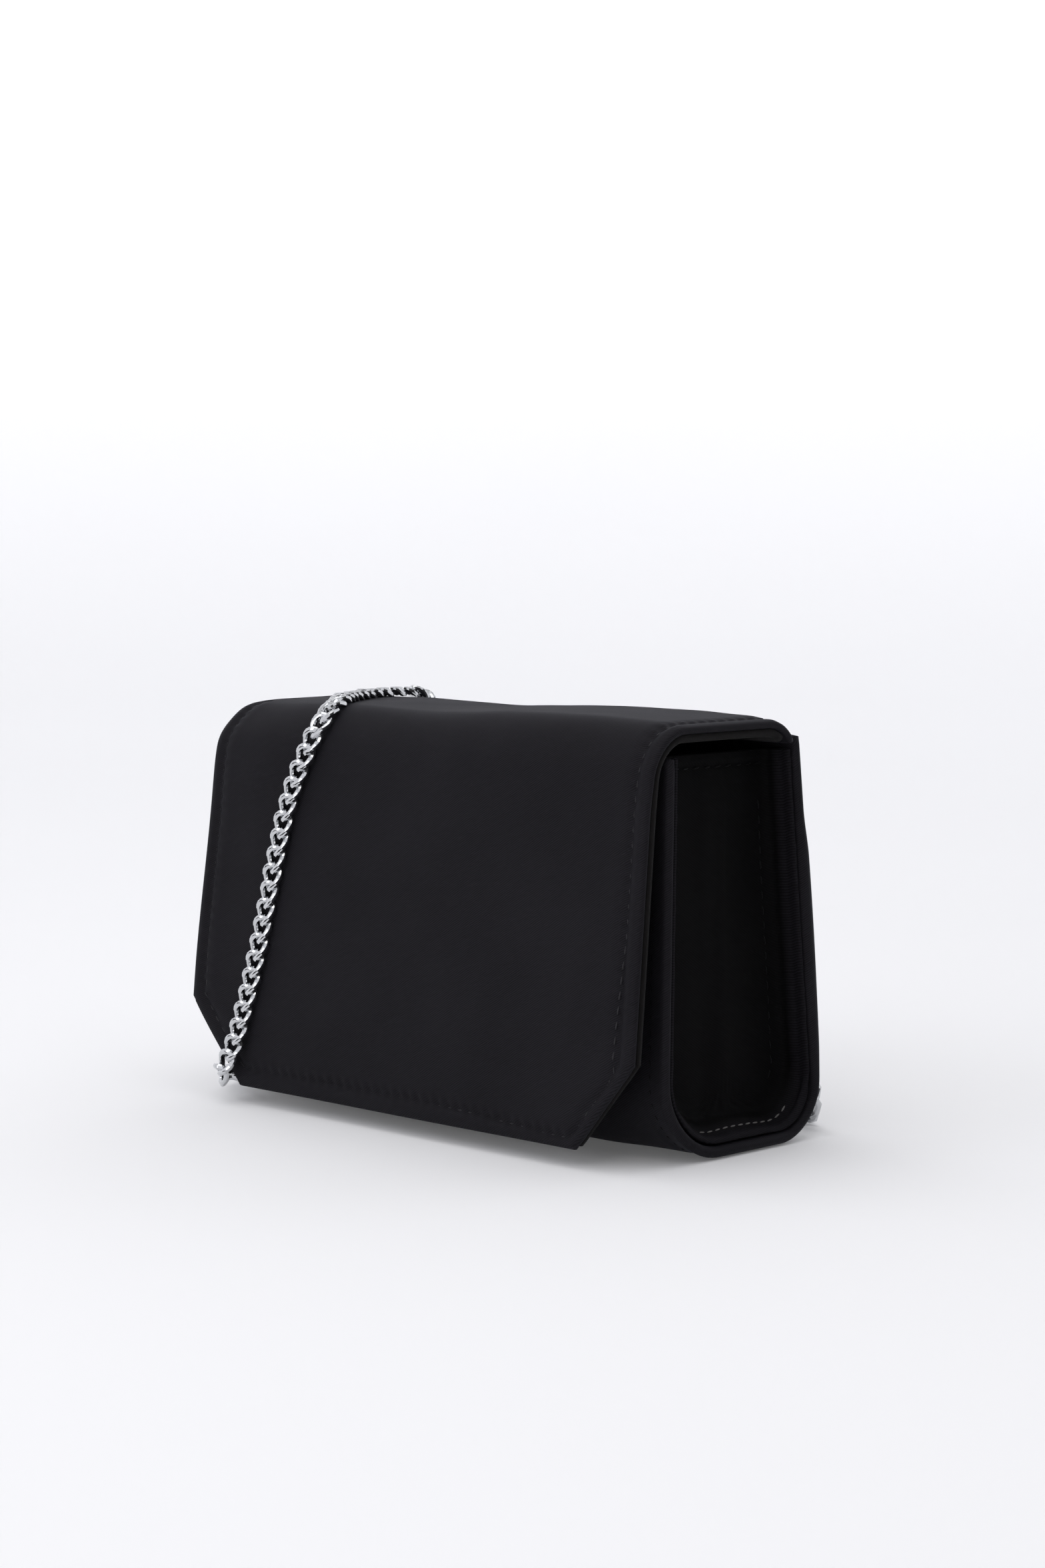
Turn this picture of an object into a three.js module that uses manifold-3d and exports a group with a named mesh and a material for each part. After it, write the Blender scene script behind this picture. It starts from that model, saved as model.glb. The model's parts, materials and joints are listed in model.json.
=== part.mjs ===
// A small structured evening bag: a U-shaped satin body closed by two recessed gussets, a padded flap
// that folds over the top and hangs in front, a hidden magnetic snap and a curb chain strap.
// Millimetres. X runs along the bag, -Y is the front, +Z is up. The origin is under the bag's middle,
// on the floor.

import * as THREE from 'three';
import { mergeVertices } from 'three/addons/utils/BufferGeometryUtils.js';
import Module from 'manifold-3d';

const wasm = await Module();
wasm.setup();

// ---- Driving dimensions ----

const seatGap = 0.3; // between pieces that touch

// The body: a U of front, bottom and back.
const bodyWidth = 178;
const bodyHeight = 111.8; // top edge of the front
const backRise = 3.8; // the back stands higher, behind the flap's seam
const bottomDepth = 68.4; // between the front and back faces, carried down to the floor
const frontLean = 1.9; // how far the front leans back over its height
const backLean = 11.7; // how far the back leans forward over its height
const frontRound = 24; // radius of the front bottom bend
const backRound = 16;
const outerSatin = 1.2;
const bodyBoard = 1.0;
const bodyLining = 0.8;
const boardMargin = 7; // turned edge kept clear of boards
const liningInset = 0.5; // the lining's ends stand in from the satin's
const liningDrop = 6.6; // the lining's back stops this far below the back's top edge

// The gussets: pans set in from the body's ends, with their flanges turned outwards.
const gussetRecess = 9;
const gussetFlangeReach = 8;
const gussetThickness = 1.6;
const gussetFlange = 1.3;
const gussetDrop = 0.2; // the gussets' top edges below the front's
const gussetLining = 0.8;
const gussetHeight = bodyHeight - gussetDrop;

// The flap.
const flapOverhang = 1; // past the body at each end
const flapRise = 8.6; // its top above the front's top edge
const flapHem = 5.4; // height of the lower edge above the floor
const hemReach = 15.19; // how far the hem hangs in front of the body's front corner
const flapLean = 9.73; // how far the front of the flap leans back between its hem and its top
const bendRound = 15;
const rearRound = 12;
const rearSetback = 1.2; // between the flap's rear and the back panel's outer face
const cornerWidth = 20.2; // cut-off lower corners
const cornerHeight = 24.6;
const flapSatin = 0.8;
const flapFoam = 1.0;
const flapBoard = 0.8;
const flapLining = 1.6;
const turnedEdge = 4.5; // the satin's folded edge, outside the padding
const liningSetback = 0.6;
const flapWidth = bodyWidth + 2 * flapOverhang;
const flapTop = bodyHeight + flapRise;

// The magnetic snap.
const snapHeight = 48;
const snapRadius = 8;
const snapPostRadius = 1.6;
const snapHoleRadius = snapPostRadius + seatGap;
const snapWasherRadius = 6.5;
const snapRim = 0.8; // bevel around the socket's face
const washerThickness = 0.5;

// The chain's anchors: a fabric tab and a D-ring at each back corner.
const anchorInset = 9; // from the body's end to a tab's middle
const anchorDrop = 10.6; // from the back's top edge to the ring's bar
const anchorSpread = bodyWidth - 2 * anchorInset;
const anchorHeight = bodyHeight + backRise - anchorDrop;
const tabWidth = 7.4;
const tabStrap = 9;
const tabThickness = 1.2;
const ringWire = 1.6;
const ringInside = 8.4;
const ringLeg = 1.2;
const loopWall = 0.9;

// The chain strap, a limp curb chain, as the round solid of its thickness.
const chainThickness = 4.2;
const chainSides = 8;
const chainGap = 0.7; // between two stretches of the strap

// ---- Small helpers ----

const point = (y, z) => new THREE.Vector2(y, z);
const degrees = THREE.MathUtils.degToRad;

function finish(color, roughness, metalness = 0) {
  return new THREE.MeshStandardMaterial({ color, roughness, metalness });
}

const finishes = {
  satin: () => finish(0x15151a, 0.55),
  suede: () => finish(0x1b191b, 0.95),
  lining: () => finish(0x19191d, 0.7),
  board: () => finish(0x8a7a66, 0.9),
  foam: () => finish(0x3a3a3e, 1),
  chrome: () => finish(0xc9ccd0, 0.15, 1),
  steel: () => finish(0x9fa2a6, 0.35, 1),
};

function solidOf(geometry) {
  const bare = geometry.index ? geometry.toNonIndexed() : geometry.clone();
  bare.deleteAttribute('normal');
  bare.deleteAttribute('uv');
  const merged = mergeVertices(bare, 1e-4);
  const mesh = new wasm.Mesh({
    numProp: 3,
    vertProperties: new Float32Array(merged.attributes.position.array),
    triVerts: new Uint32Array(merged.index.array),
  });
  return new wasm.Manifold(mesh);
}

function geometryOf(solid) {
  const mesh = solid.getMesh();
  const geometry = new THREE.BufferGeometry();
  geometry.setAttribute('position', new THREE.BufferAttribute(new Float32Array(mesh.vertProperties), 3));
  geometry.setIndex(new THREE.BufferAttribute(new Uint32Array(mesh.triVerts), 1));
  return geometry;
}

function arc(center, radius, from, to, steps) {
  const points = [];
  for (let i = 0; i <= steps; i += 1) {
    const angle = from + ((to - from) * i) / steps;
    points.push(point(center.x + radius * Math.cos(angle), center.y + radius * Math.sin(angle)));
  }
  return points;
}

// A section is drawn in the Y-Z plane and runs along X between two places.
function alongX(points, fromX, toX) {
  const geometry = new THREE.ExtrudeGeometry(new THREE.Shape(points), {
    depth: toX - fromX,
    bevelEnabled: false,
  });
  const sectionToBag = new THREE.Matrix4().makeBasis(
    new THREE.Vector3(0, 1, 0),
    new THREE.Vector3(0, 0, 1),
    new THREE.Vector3(1, 0, 0),
  );
  geometry.applyMatrix4(sectionToBag);
  geometry.translate(fromX, 0, 0);
  return geometry;
}

const acrossBag = (points, width) => alongX(points, -width / 2, width / 2);

// ---- The body's section ----

const frontFoot = point(-bottomDepth / 2 + 8.47, 0);
const backFoot = point(frontFoot.x + bottomDepth, 0);
const frontHead = point(frontFoot.x + frontLean, bodyHeight);
const backHeight = bodyHeight + backRise;
const backHead = point(backFoot.x - (backLean * backHeight) / bodyHeight, backHeight);

// A straight stretch moved inwards by depth: the bag's inside is on the left of its direction.
function movedIn(from, to, depth) {
  const along = to.clone().sub(from).normalize();
  const inward = point(-along.y, along.x).multiplyScalar(depth);
  return [from.clone().add(inward), to.clone().add(inward)];
}

function crossing(a, b, c, d) {
  const u = b.clone().sub(a);
  const v = d.clone().sub(c);
  const t = ((c.x - a.x) * v.y - (c.y - a.y) * v.x) / (u.x * v.y - u.y * v.x);
  return a.clone().addScaledVector(u, t);
}

// The round between two straight stretches that turn left.
function roundCorner(a, corner, b, radius, steps) {
  const [p, q] = movedIn(a, corner, radius);
  const [r, s] = movedIn(corner, b, radius);
  const center = crossing(p, q, r, s);
  const first = Math.atan2(q.y - p.y, q.x - p.x) - Math.PI / 2;
  const last = Math.atan2(s.y - r.y, s.x - r.x) - Math.PI / 2;
  const turn = (last - first + 2 * Math.PI) % (2 * Math.PI);
  return arc(center, radius, first, first + turn, steps);
}

// The U line at a depth inside the body's outer face, from the front's head round to the back's.
function bodyLine(depth, roundSteps = 12) {
  const [frontTop, frontLow] = movedIn(frontHead, frontFoot, depth);
  const [bottomFront, bottomBack] = movedIn(frontFoot, backFoot, depth);
  const [backLow, backTop] = movedIn(backFoot, backHead, depth);
  const frontCorner = crossing(frontTop, frontLow, bottomFront, bottomBack);
  const backCorner = crossing(bottomFront, bottomBack, backLow, backTop);
  return [
    frontTop,
    ...roundCorner(frontTop, frontCorner, backCorner, frontRound - depth, roundSteps),
    ...roundCorner(frontCorner, backCorner, backTop, backRound - depth, roundSteps),
    backTop,
  ];
}

function bodyWall(outside, inside) {
  return [...bodyLine(outside), ...bodyLine(inside).reverse()];
}

// A flat strip inside a straight wall, from one height share to another.
function wallStrip(from, to, start, end, outside, inside) {
  const along = to.clone().sub(from).normalize();
  const inward = point(-along.y, along.x);
  const corner = (distance, depth) => {
    return from.clone().addScaledVector(along, distance).addScaledVector(inward, depth);
  };
  return [corner(start, outside), corner(end, outside), corner(end, inside), corner(start, inside)];
}

const boardOutside = outerSatin + seatGap;
const boardInside = boardOutside + bodyBoard;
const liningOutside = boardInside + seatGap;
const liningInside = liningOutside + bodyLining;

const frontLength = frontHead.distanceTo(frontFoot);
const backLength = backHead.distanceTo(backFoot);
const bottomLength = backFoot.distanceTo(frontFoot);

// Where each board runs on its wall: along the front from its head, then along the bottom and the back.
const boards = {
  front_board: [frontHead, frontFoot, boardMargin, frontLength - frontRound],
  bottom_board: [frontFoot, backFoot, frontRound + 1, bottomLength - backRound - 2],
  back_board: [backFoot, backHead, backRound + 2, backLength - boardMargin - backRise],
};
const boardWidth = bodyWidth - 2 * boardMargin;

function boardPocket([from, to, start, end]) {
  const slack = seatGap;
  return acrossBag(
    wallStrip(from, to, start - slack, end + slack, outerSatin, liningOutside),
    boardWidth + 2 * slack,
  );
}

function bodyOuter() {
  let wall = solidOf(acrossBag(bodyWall(0, boardInside), bodyWidth));
  for (const place of Object.values(boards)) wall = wall.subtract(solidOf(boardPocket(place)));
  return geometryOf(wall.subtract(snapHole(bodyPanel)));
}

// The lining's back stops under the flap's seam.
function bodyLiningSheet() {
  const top = backHead.y - liningDrop;
  const lines = [liningOutside, liningInside].map((depth) => {
    const line = bodyLine(depth);
    return [...line.slice(0, -1), clipToHeight(line[line.length - 1], line[line.length - 2], top)];
  });
  return acrossBag([...lines[0], ...lines[1].reverse()], bodyWidth - 2 * liningInset);
}

function bodyBoardSheet(name) {
  const [from, to, start, end] = boards[name];
  const sheet = acrossBag(wallStrip(from, to, start, end, boardOutside, boardInside), boardWidth);
  if (name !== 'front_board') return sheet;
  return geometryOf(solidOf(sheet).subtract(washerHole(bodyPanel)));
}

// ---- The gussets ----

const gussetPanelOutside = bodyWidth / 2 - gussetRecess;
const gussetPanelInside = gussetPanelOutside - gussetThickness;
const gussetInset = liningInside + seatGap;

// The outline of a gusset at a depth inside the body, closed along its top edge.
function gussetOutline(depth, top) {
  const line = bodyLine(depth);
  const clipped = line.slice(1, -1);
  const front = clipToHeight(line[0], line[1], top);
  const back = clipToHeight(line[line.length - 1], line[line.length - 2], top);
  return [front, ...clipped, back];
}

function clipToHeight(a, b, height) {
  const share = (height - b.y) / (a.y - b.y);
  return point(b.x + (a.x - b.x) * share, height);
}

function gusset(side) {
  const rim = gussetPanelOutside + gussetFlangeReach;
  const block = solidOf(alongX(gussetOutline(gussetInset, gussetHeight), gussetPanelInside, rim));
  const hollowOutline = gussetOutline(gussetInset + gussetFlange, gussetHeight + 1);
  const hollow = solidOf(alongX(hollowOutline, gussetPanelOutside, rim + 1));
  return mirrored(geometryOf(block.subtract(hollow)), side);
}

function gussetInner(side) {
  const outside = gussetPanelInside - seatGap;
  const outline = gussetOutline(gussetInset, gussetHeight - 0.5);
  return mirrored(alongX(outline, outside - gussetLining, outside), side);
}

function mirrored(geometry, side) {
  if (side > 0) return geometry;
  return geometryOf(solidOf(geometry).mirror([1, 0, 0]));
}

// ---- The flap's section ----

const hemFoot = point(frontFoot.x - hemReach, flapHem);
const frontTopCorner = point(hemFoot.x + flapLean, flapTop);
const seamLine = backHead.x - rearSetback;
const rearCenter = point(seamLine - rearRound, flapTop - rearRound);
const frontTilt = Math.atan2(flapTop - flapHem, flapLean);
const frontNormal = frontTilt + Math.PI / 2;
const mitre = (frontNormal + Math.PI / 2) / 2;
const bendCenter = point(
  hemFoot.x + (flapTop - bendRound - flapHem) / Math.tan(frontTilt) - bendRound / Math.cos(frontNormal),
  flapTop - bendRound,
);

const paddingOutside = flapSatin + seatGap;
const paddingInside = paddingOutside + flapFoam;
const flapBoardOutside = paddingInside + seatGap;
const coverInside = flapBoardOutside + flapBoard;
const flapLiningOutside = coverInside + seatGap;
const flapInside = flapLiningOutside + flapLining;

// Half the gap between the two flap bodies where they meet in the front bend.
const mitreGap = (radius) => seatGap / 2 / radius;

function topLine(depth, rearAngle) {
  const rear = rearRound - depth;
  const bend = bendRound - depth;
  return [
    ...arc(rearCenter, rear, rearAngle, Math.PI / 2, 8),
    ...arc(bendCenter, bend, Math.PI / 2, mitre - mitreGap(bend), 6),
  ];
}

function frontLine(depth, hemInset) {
  const bend = bendRound - depth;
  const inward = point(Math.cos(frontNormal), Math.sin(frontNormal)).multiplyScalar(-depth);
  const upward = point(Math.cos(frontTilt), Math.sin(frontTilt)).multiplyScalar(hemInset);
  const hem = hemFoot.clone().add(inward).add(upward);
  return [...arc(bendCenter, bend, mitre + mitreGap(bend), frontNormal, 6), hem];
}

function topLayer(outside, inside, inset, rearAngle) {
  const section = [...topLine(outside, rearAngle), ...topLine(inside, rearAngle).reverse()];
  return solidOf(acrossBag(section, flapWidth - 2 * inset));
}

function frontLayer(outside, inside, inset) {
  const section = [...frontLine(outside, inset), ...frontLine(inside, inset).reverse()];
  let layer = solidOf(acrossBag(section, flapWidth - 2 * inset));
  for (const side of [-1, 1]) layer = layer.subtract(cornerCut(side, inset));
  return layer;
}

const cutReach = 60; // past the flap on every side

// What is cut off a lower corner, drawn in the X-Z plane and run right through the flap.
function cornerCut(side, inset) {
  const along = point(cornerWidth, cornerHeight).normalize();
  const outward = point(along.y, -along.x);
  const corner = point(flapWidth / 2 - cornerWidth, flapHem).addScaledVector(outward, -inset);
  const low = corner.clone().addScaledVector(along, -cutReach);
  const high = corner.clone().addScaledVector(along, cutReach);
  const shape = new THREE.Shape([
    low,
    low.clone().addScaledVector(outward, cutReach),
    high.clone().addScaledVector(outward, cutReach),
    high,
  ]);
  const geometry = new THREE.ExtrudeGeometry(shape, { depth: 2 * cutReach, bevelEnabled: false });
  geometry.rotateX(Math.PI / 2);
  geometry.translate(0, cutReach, 0);
  const cut = solidOf(geometry);
  return side > 0 ? cut : cut.mirror([1, 0, 0]);
}

const seamAngle = degrees(29); // where the satin meets the back panel
const foldAngle = degrees(46); // where the lining stops, over the gussets
const paddingAngle = degrees(70);

function flapTopCover() {
  const cover = topLayer(0, coverInside, 0, foldAngle).add(topLayer(0, flapSatin, 0, seamAngle));
  const bed = topLayer(flapSatin, coverInside + 1, turnedEdge, paddingAngle - degrees(3));
  return geometryOf(cover.subtract(bed).subtract(bendPassage()));
}

// The padding runs through the front bend, so the turned edge is open there.
function bendPassage() {
  const section = [
    ...arc(bendCenter, bendRound - flapSatin, Math.PI / 2, mitre, 6),
    ...arc(bendCenter, bendRound - coverInside - 1, Math.PI / 2, mitre, 6).reverse(),
  ];
  return solidOf(acrossBag(section, flapWidth - 2 * turnedEdge));
}

function flapFrontCover() {
  const bed = frontLayer(flapSatin, coverInside + 1, turnedEdge);
  return geometryOf(frontLayer(0, coverInside, 0).subtract(bed));
}

function flapTopSheet(outside, inside, inset, rearAngle) {
  return geometryOf(topLayer(outside, inside, inset, rearAngle));
}

function flapFrontSheet(outside, inside, inset, hole) {
  const sheet = frontLayer(outside, inside, inset);
  return geometryOf(hole ? sheet.subtract(hole) : sheet);
}

const paddingInset = turnedEdge + seatGap;

// ---- The magnetic snap ----

const faceAt = (from, to, height) => crossing(from, to, point(-200, height), point(200, height)).x;

// A panel as the snap sees it: where its outer face is at the snap's height, and how far it leans back.
function panel(from, to) {
  return {
    face: point(faceAt(from, to, snapHeight), snapHeight),
    lean: Math.atan2(from.y - to.y, from.x - to.x) - Math.PI / 2,
  };
}

const bodyPanel = panel(frontHead, frontFoot);
const flapPanel = panel(frontTopCorner, hemFoot);
const flapInnerFace = panel(...movedIn(frontTopCorner, hemFoot, flapInside)).face;
const snapRoom = bodyPanel.face.x - flapInnerFace.x;
const leanBetween = Math.abs(bodyPanel.lean - flapPanel.lean) * snapRadius; // the faces aren't parallel
const snapHalf = (snapRoom - leanBetween) / 2 - 1.5 * seatGap;

const discSides = 28;

// A disc on a panel: depths are measured inwards from the panel's outer face.
function discOn(place, radius, from, to, rim = 0) {
  const length = to - from;
  const face = rim > 0 ? [point(radius - rim, 0), point(radius, rim)] : [point(radius, 0)];
  const profile = [point(0, 0), ...face, point(radius, length), point(0, length)];
  const geometry = new THREE.LatheGeometry(profile, discSides);
  geometry.translate(0, from, 0);
  geometry.rotateX(place.lean);
  geometry.translate(0, place.face.x, place.face.y);
  return solidOf(geometry);
}

const postRoot = 0.5; // how far a post runs into its disc
const wallDepth = 12; // deep enough to cut right through either wall
const snapHole = (place) => discOn(place, snapHoleRadius, -1, wallDepth / 2);
const washerHole = (place) => discOn(place, snapWasherRadius + seatGap, -1, wallDepth / 2);

function snapSocket() {
  const disc = discOn(bodyPanel, snapRadius, -seatGap - snapHalf, -seatGap, snapRim);
  const post = discOn(bodyPanel, snapPostRadius, -seatGap - postRoot, boardOutside - seatGap / 2);
  return geometryOf(disc.add(post));
}

function snapSocketWasher() {
  const front = boardOutside + (bodyBoard - washerThickness) / 2;
  return geometryOf(discOn(bodyPanel, snapWasherRadius, front, front + washerThickness));
}

function snapStud() {
  const disc = discOn(flapPanel, snapRadius, flapInside + seatGap, flapInside + seatGap + snapHalf);
  const post = discOn(flapPanel, snapPostRadius, coverInside + seatGap / 2, flapInside + seatGap + postRoot);
  return geometryOf(disc.add(post));
}

function snapStudWasher() {
  const front = flapBoardOutside + (flapBoard - washerThickness) / 2;
  return geometryOf(discOn(flapPanel, snapWasherRadius, front, front + washerThickness));
}

// ---- The chain's anchors ----

const wireRadius = ringWire / 2;
const barHole = wireRadius + seatGap;
const loopRadius = barHole + loopWall;
const backTilt = Math.atan2(backHead.x - backFoot.x, backHead.y - backFoot.y); // negative: it leans forward
const anchorFoot = point(faceAt(backFoot, backHead, anchorHeight), anchorHeight);
const barOffset = seatGap + loopRadius;
const bar = point(
  anchorFoot.x + barOffset * Math.cos(backTilt),
  anchorFoot.y - barOffset * Math.sin(backTilt),
);

function anchorTab() {
  const strap = [
    point(seatGap, 0),
    point(seatGap + tabThickness, 0),
    point(seatGap + tabThickness, tabStrap),
    point(seatGap, tabStrap),
  ];
  const loop = arc(point(barOffset, 0), loopRadius, 0, 2 * Math.PI, 20).slice(0, -1);
  const hole = arc(point(barOffset, 0), barHole, 0, 2 * Math.PI, 16).slice(0, -1);
  const cloth = solidOf(acrossBag(strap, tabWidth)).add(solidOf(acrossBag(loop, tabWidth)));
  return geometryOf(cloth.subtract(solidOf(acrossBag(hole, tabWidth + 2))));
}

class RingBow extends THREE.Curve {
  // Down one leg, round the bow and up the other, hanging from the bar's ends.
  getPoint(t, target = new THREE.Vector3()) {
    const radius = (ringInside + ringWire) / 2;
    const round = Math.PI * radius;
    const total = round + 2 * ringLeg;
    const run = t * total;
    if (run < ringLeg) return target.set(-radius, 0, -run);
    if (run > total - ringLeg) return target.set(radius, 0, run - total);
    const angle = Math.PI + (run - ringLeg) / radius;
    return target.set(radius * Math.cos(angle), 0, -ringLeg + radius * Math.sin(angle));
  }
}

function circle(radius, sides) {
  return new THREE.Shape(arc(point(0, 0), radius, 0, 2 * Math.PI, sides).slice(0, -1));
}

function anchorRing() {
  const half = (ringInside + ringWire) / 2;
  const bow = new THREE.ExtrudeGeometry(circle(wireRadius, 10), {
    steps: 24,
    bevelEnabled: false,
    extrudePath: new RingBow(),
  });
  const rod = new THREE.CylinderGeometry(wireRadius, wireRadius, 2 * half + ringWire, 12);
  rod.rotateZ(Math.PI / 2);
  return geometryOf(solidOf(bow).add(solidOf(rod)));
}

// ---- The chain ----

// The strap's two lengths, each from a ring to the spare chain. Every stretch starts where the one before
// it ends. The first length goes over the flap, down its front and round its lower left corner.
const leftLength = {
  chain_back_lead: [
    [-80, 35.3, 97.8], [-80, 36, 92], [-79, 37, 86], [-75.5, 37.8, 80.5], [-69.5, 38.1, 78.2],
    [-63.5, 37.7, 81], [-60, 36.8, 87.5], [-59.4, 35.6, 98], [-60.3, 34.5, 107], [-61.2, 33.9, 112.6],
  ],
  chain_over_hinge: [[-62, 33.9, 117.2], [-62.8, 31.8, 120.4], [-63.3, 28.2, 122.4]],
  chain_over_top: [
    [-64, 21, 123.1], [-63.6, 12, 123.1], [-59.8, 2, 123.1], [-54, -9, 123.1], [-48.5, -17, 123.1],
    [-45, -22.8, 122.1],
  ],
  chain_over_bend: [[-43.3, -27.3, 120.2], [-42, -31.1, 116.9]],
  chain_down_front: [
    [-42.6, -34, 112.2], [-45.6, -35.3, 105], [-49.2, -36.2, 97], [-52.4, -37.1, 87], [-55.5, -38.1, 74],
    [-58.4, -39.2, 60], [-61.4, -40.4, 46], [-65.3, -41.7, 31], [-69.5, -42.9, 18], [-73, -43.8, 11.3],
    [-75.7, -42.3, 8],
  ],
  chain_floor_run: [
    [-76.4, -39.2, 7.2], [-75.2, -34.6, 7.2], [-77.5, -30.9, 7], [-84, -28, 6.6], [-92.3, -22.5, 5.6],
    [-96, -12, 4.2], [-97.8, 0, 2.6], [-98.5, 18, 2.3], [-97.2, 36, 2.3], [-93.7, 51, 2.3],
    [-89.6, 57.7, 2.3],
  ],
};

const rightLength = {
  chain_right_lead: [
    [19.8, 72, 6.4], [27, 74, 3.8], [34, 74.5, 2.3], [44, 72, 2.3], [55, 66, 2.3], [66, 58.5, 2.3],
    [74, 52.5, 3], [78.6, 48.5, 8.5], [79.9, 45.6, 20], [80, 43.4, 40], [80, 40.2, 65], [80, 37.6, 84],
    [80, 35.3, 97.8],
  ],
};

// Part of a longer curve, so that the stretches of one length stay in line.
class Stretch extends THREE.Curve {
  constructor(whole, from, to) {
    super();
    Object.assign(this, { whole, from, to });
  }

  getPoint(t, target) {
    return this.whole.getPointAt(this.from + (this.to - this.from) * t, target);
  }
}

function chainTube(curve) {
  const stepsPerThickness = 0.5;
  const steps = Math.max(6, Math.round((curve.getLength() / chainThickness) * stepsPerThickness));
  return new THREE.ExtrudeGeometry(circle(chainThickness / 2, chainSides), {
    steps,
    bevelEnabled: false,
    extrudePath: curve,
  });
}

// One tube for each stretch of a length.
function chainTubes(length) {
  const points = Object.values(length).flat().map((p) => new THREE.Vector3(...p));
  const whole = new THREE.CatmullRomCurve3(points, false, 'centripetal');
  whole.arcLengthDivisions = 4000;
  const lengths = whole.getLengths();
  const total = lengths[lengths.length - 1];
  const shareAt = (index) => {
    return lengths[Math.round((index / (points.length - 1)) * (lengths.length - 1))] / total;
  };
  const gap = chainGap / 2 / total;
  const tubes = {};
  let first = 0;
  for (const [name, stretch] of Object.entries(length)) {
    const last = (first === 0 ? -1 : first) + stretch.length;
    const from = first === 0 ? 0 : shareAt(first) + gap;
    const to = last === points.length - 1 ? 1 : shareAt(last) - gap;
    tubes[name] = chainTube(new Stretch(whole, from, to));
    first = last;
  }
  return tubes;
}

// The spare chain, folded into flat turns behind the bag.
const hank = { middle: [-37, 72], length: 112, width: 46, layers: 2, foot: 0.2 };

function chainHank() {
  const radius = hank.width / 2;
  const half = hank.length / 2 - radius;
  const [x, y] = hank.middle;
  const outline = [
    ...arc(point(x + half, y), radius, -Math.PI / 2, Math.PI / 2, 14),
    ...arc(point(x - half, y), radius, Math.PI / 2, (3 * Math.PI) / 2, 14),
  ];
  const height = hank.layers * chainThickness;
  const solid = new THREE.ExtrudeGeometry(new THREE.Shape(outline), { depth: height, bevelEnabled: false });
  return solid.translate(0, 0, hank.foot);
}

// ---- The assembly ----

const bag = new THREE.Group();

function add(name, geometry, material) {
  const mesh = new THREE.Mesh(geometry, material);
  mesh.name = name;
  bag.add(mesh);
  return mesh;
}

add('body_outer', bodyOuter(), finishes.satin());
add('body_lining', bodyLiningSheet(), finishes.lining());
for (const name of Object.keys(boards)) add(name, bodyBoardSheet(name), finishes.board());

const foam = [paddingOutside, paddingInside, paddingInset];
const flapStiffener = [flapBoardOutside, coverInside, paddingInset];
const suede = [flapLiningOutside, flapInside, liningSetback];

add('flap_top_cover', flapTopCover(), finishes.satin());
add('flap_top_foam', flapTopSheet(...foam, paddingAngle), finishes.foam());
add('flap_top_board', flapTopSheet(...flapStiffener, paddingAngle), finishes.board());
add('flap_top_lining', flapTopSheet(...suede, foldAngle), finishes.suede());

add('flap_front_cover', flapFrontCover(), finishes.satin());
add('flap_front_foam', flapFrontSheet(...foam), finishes.foam());
add('flap_front_board', flapFrontSheet(...flapStiffener, washerHole(flapPanel)), finishes.board());
add('flap_front_lining', flapFrontSheet(...suede, snapHole(flapPanel)), finishes.suede());

add('snap_socket', snapSocket(), finishes.steel());
add('snap_socket_washer', snapSocketWasher(), finishes.steel());
add('snap_stud', snapStud(), finishes.steel());
add('snap_stud_washer', snapStudWasher(), finishes.steel());

for (const [side, word] of [[1, 'right'], [-1, 'left']]) {
  add(`gusset_${word}`, gusset(side), finishes.satin());
  add(`gusset_lining_${word}`, gussetInner(side), finishes.lining());
  const x = (side * anchorSpread) / 2;
  const tab = add(`anchor_tab_${word}`, anchorTab(), finishes.satin());
  tab.position.set(x, anchorFoot.x, anchorFoot.y);
  tab.rotation.x = -backTilt;
  add(`anchor_ring_${word}`, anchorRing(), finishes.chrome()).position.set(x, bar.x, bar.y);
}

for (const length of [leftLength, rightLength]) {
  for (const [name, tube] of Object.entries(chainTubes(length))) add(name, tube, finishes.chrome());
}
add('chain_hank', chainHank(), finishes.chrome());

export default bag;
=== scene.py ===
# %% [markdown]
# # A small evening bag with a chain strap
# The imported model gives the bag's bodies, hinges and sizes. This lesson builds the cloth, the padding,
# the stitches and the chain around it. Everything is in metres; X runs along the bag, -Y is its front.

import json
import math

import bmesh
import bpy
from mathutils import Matrix, Vector, noise

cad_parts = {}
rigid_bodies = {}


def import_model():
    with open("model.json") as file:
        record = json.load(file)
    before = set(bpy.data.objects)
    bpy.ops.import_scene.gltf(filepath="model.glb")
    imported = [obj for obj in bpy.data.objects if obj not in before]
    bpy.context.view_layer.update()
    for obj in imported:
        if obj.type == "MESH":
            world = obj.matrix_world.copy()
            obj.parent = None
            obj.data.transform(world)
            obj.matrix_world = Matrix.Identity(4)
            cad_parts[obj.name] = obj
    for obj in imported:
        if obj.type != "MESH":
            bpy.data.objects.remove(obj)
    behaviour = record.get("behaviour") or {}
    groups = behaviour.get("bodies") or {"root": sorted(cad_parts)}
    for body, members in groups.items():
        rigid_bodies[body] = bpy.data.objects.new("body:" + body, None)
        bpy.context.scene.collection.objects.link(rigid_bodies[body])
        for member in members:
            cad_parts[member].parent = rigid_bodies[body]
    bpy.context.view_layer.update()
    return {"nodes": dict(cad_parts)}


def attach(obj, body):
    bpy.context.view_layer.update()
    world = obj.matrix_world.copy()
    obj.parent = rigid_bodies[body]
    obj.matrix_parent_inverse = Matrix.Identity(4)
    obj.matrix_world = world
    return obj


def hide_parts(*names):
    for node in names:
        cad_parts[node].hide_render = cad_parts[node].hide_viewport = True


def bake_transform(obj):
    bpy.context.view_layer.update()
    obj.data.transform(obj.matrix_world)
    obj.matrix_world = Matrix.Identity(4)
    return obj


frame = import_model()
MM = 0.001

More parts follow.
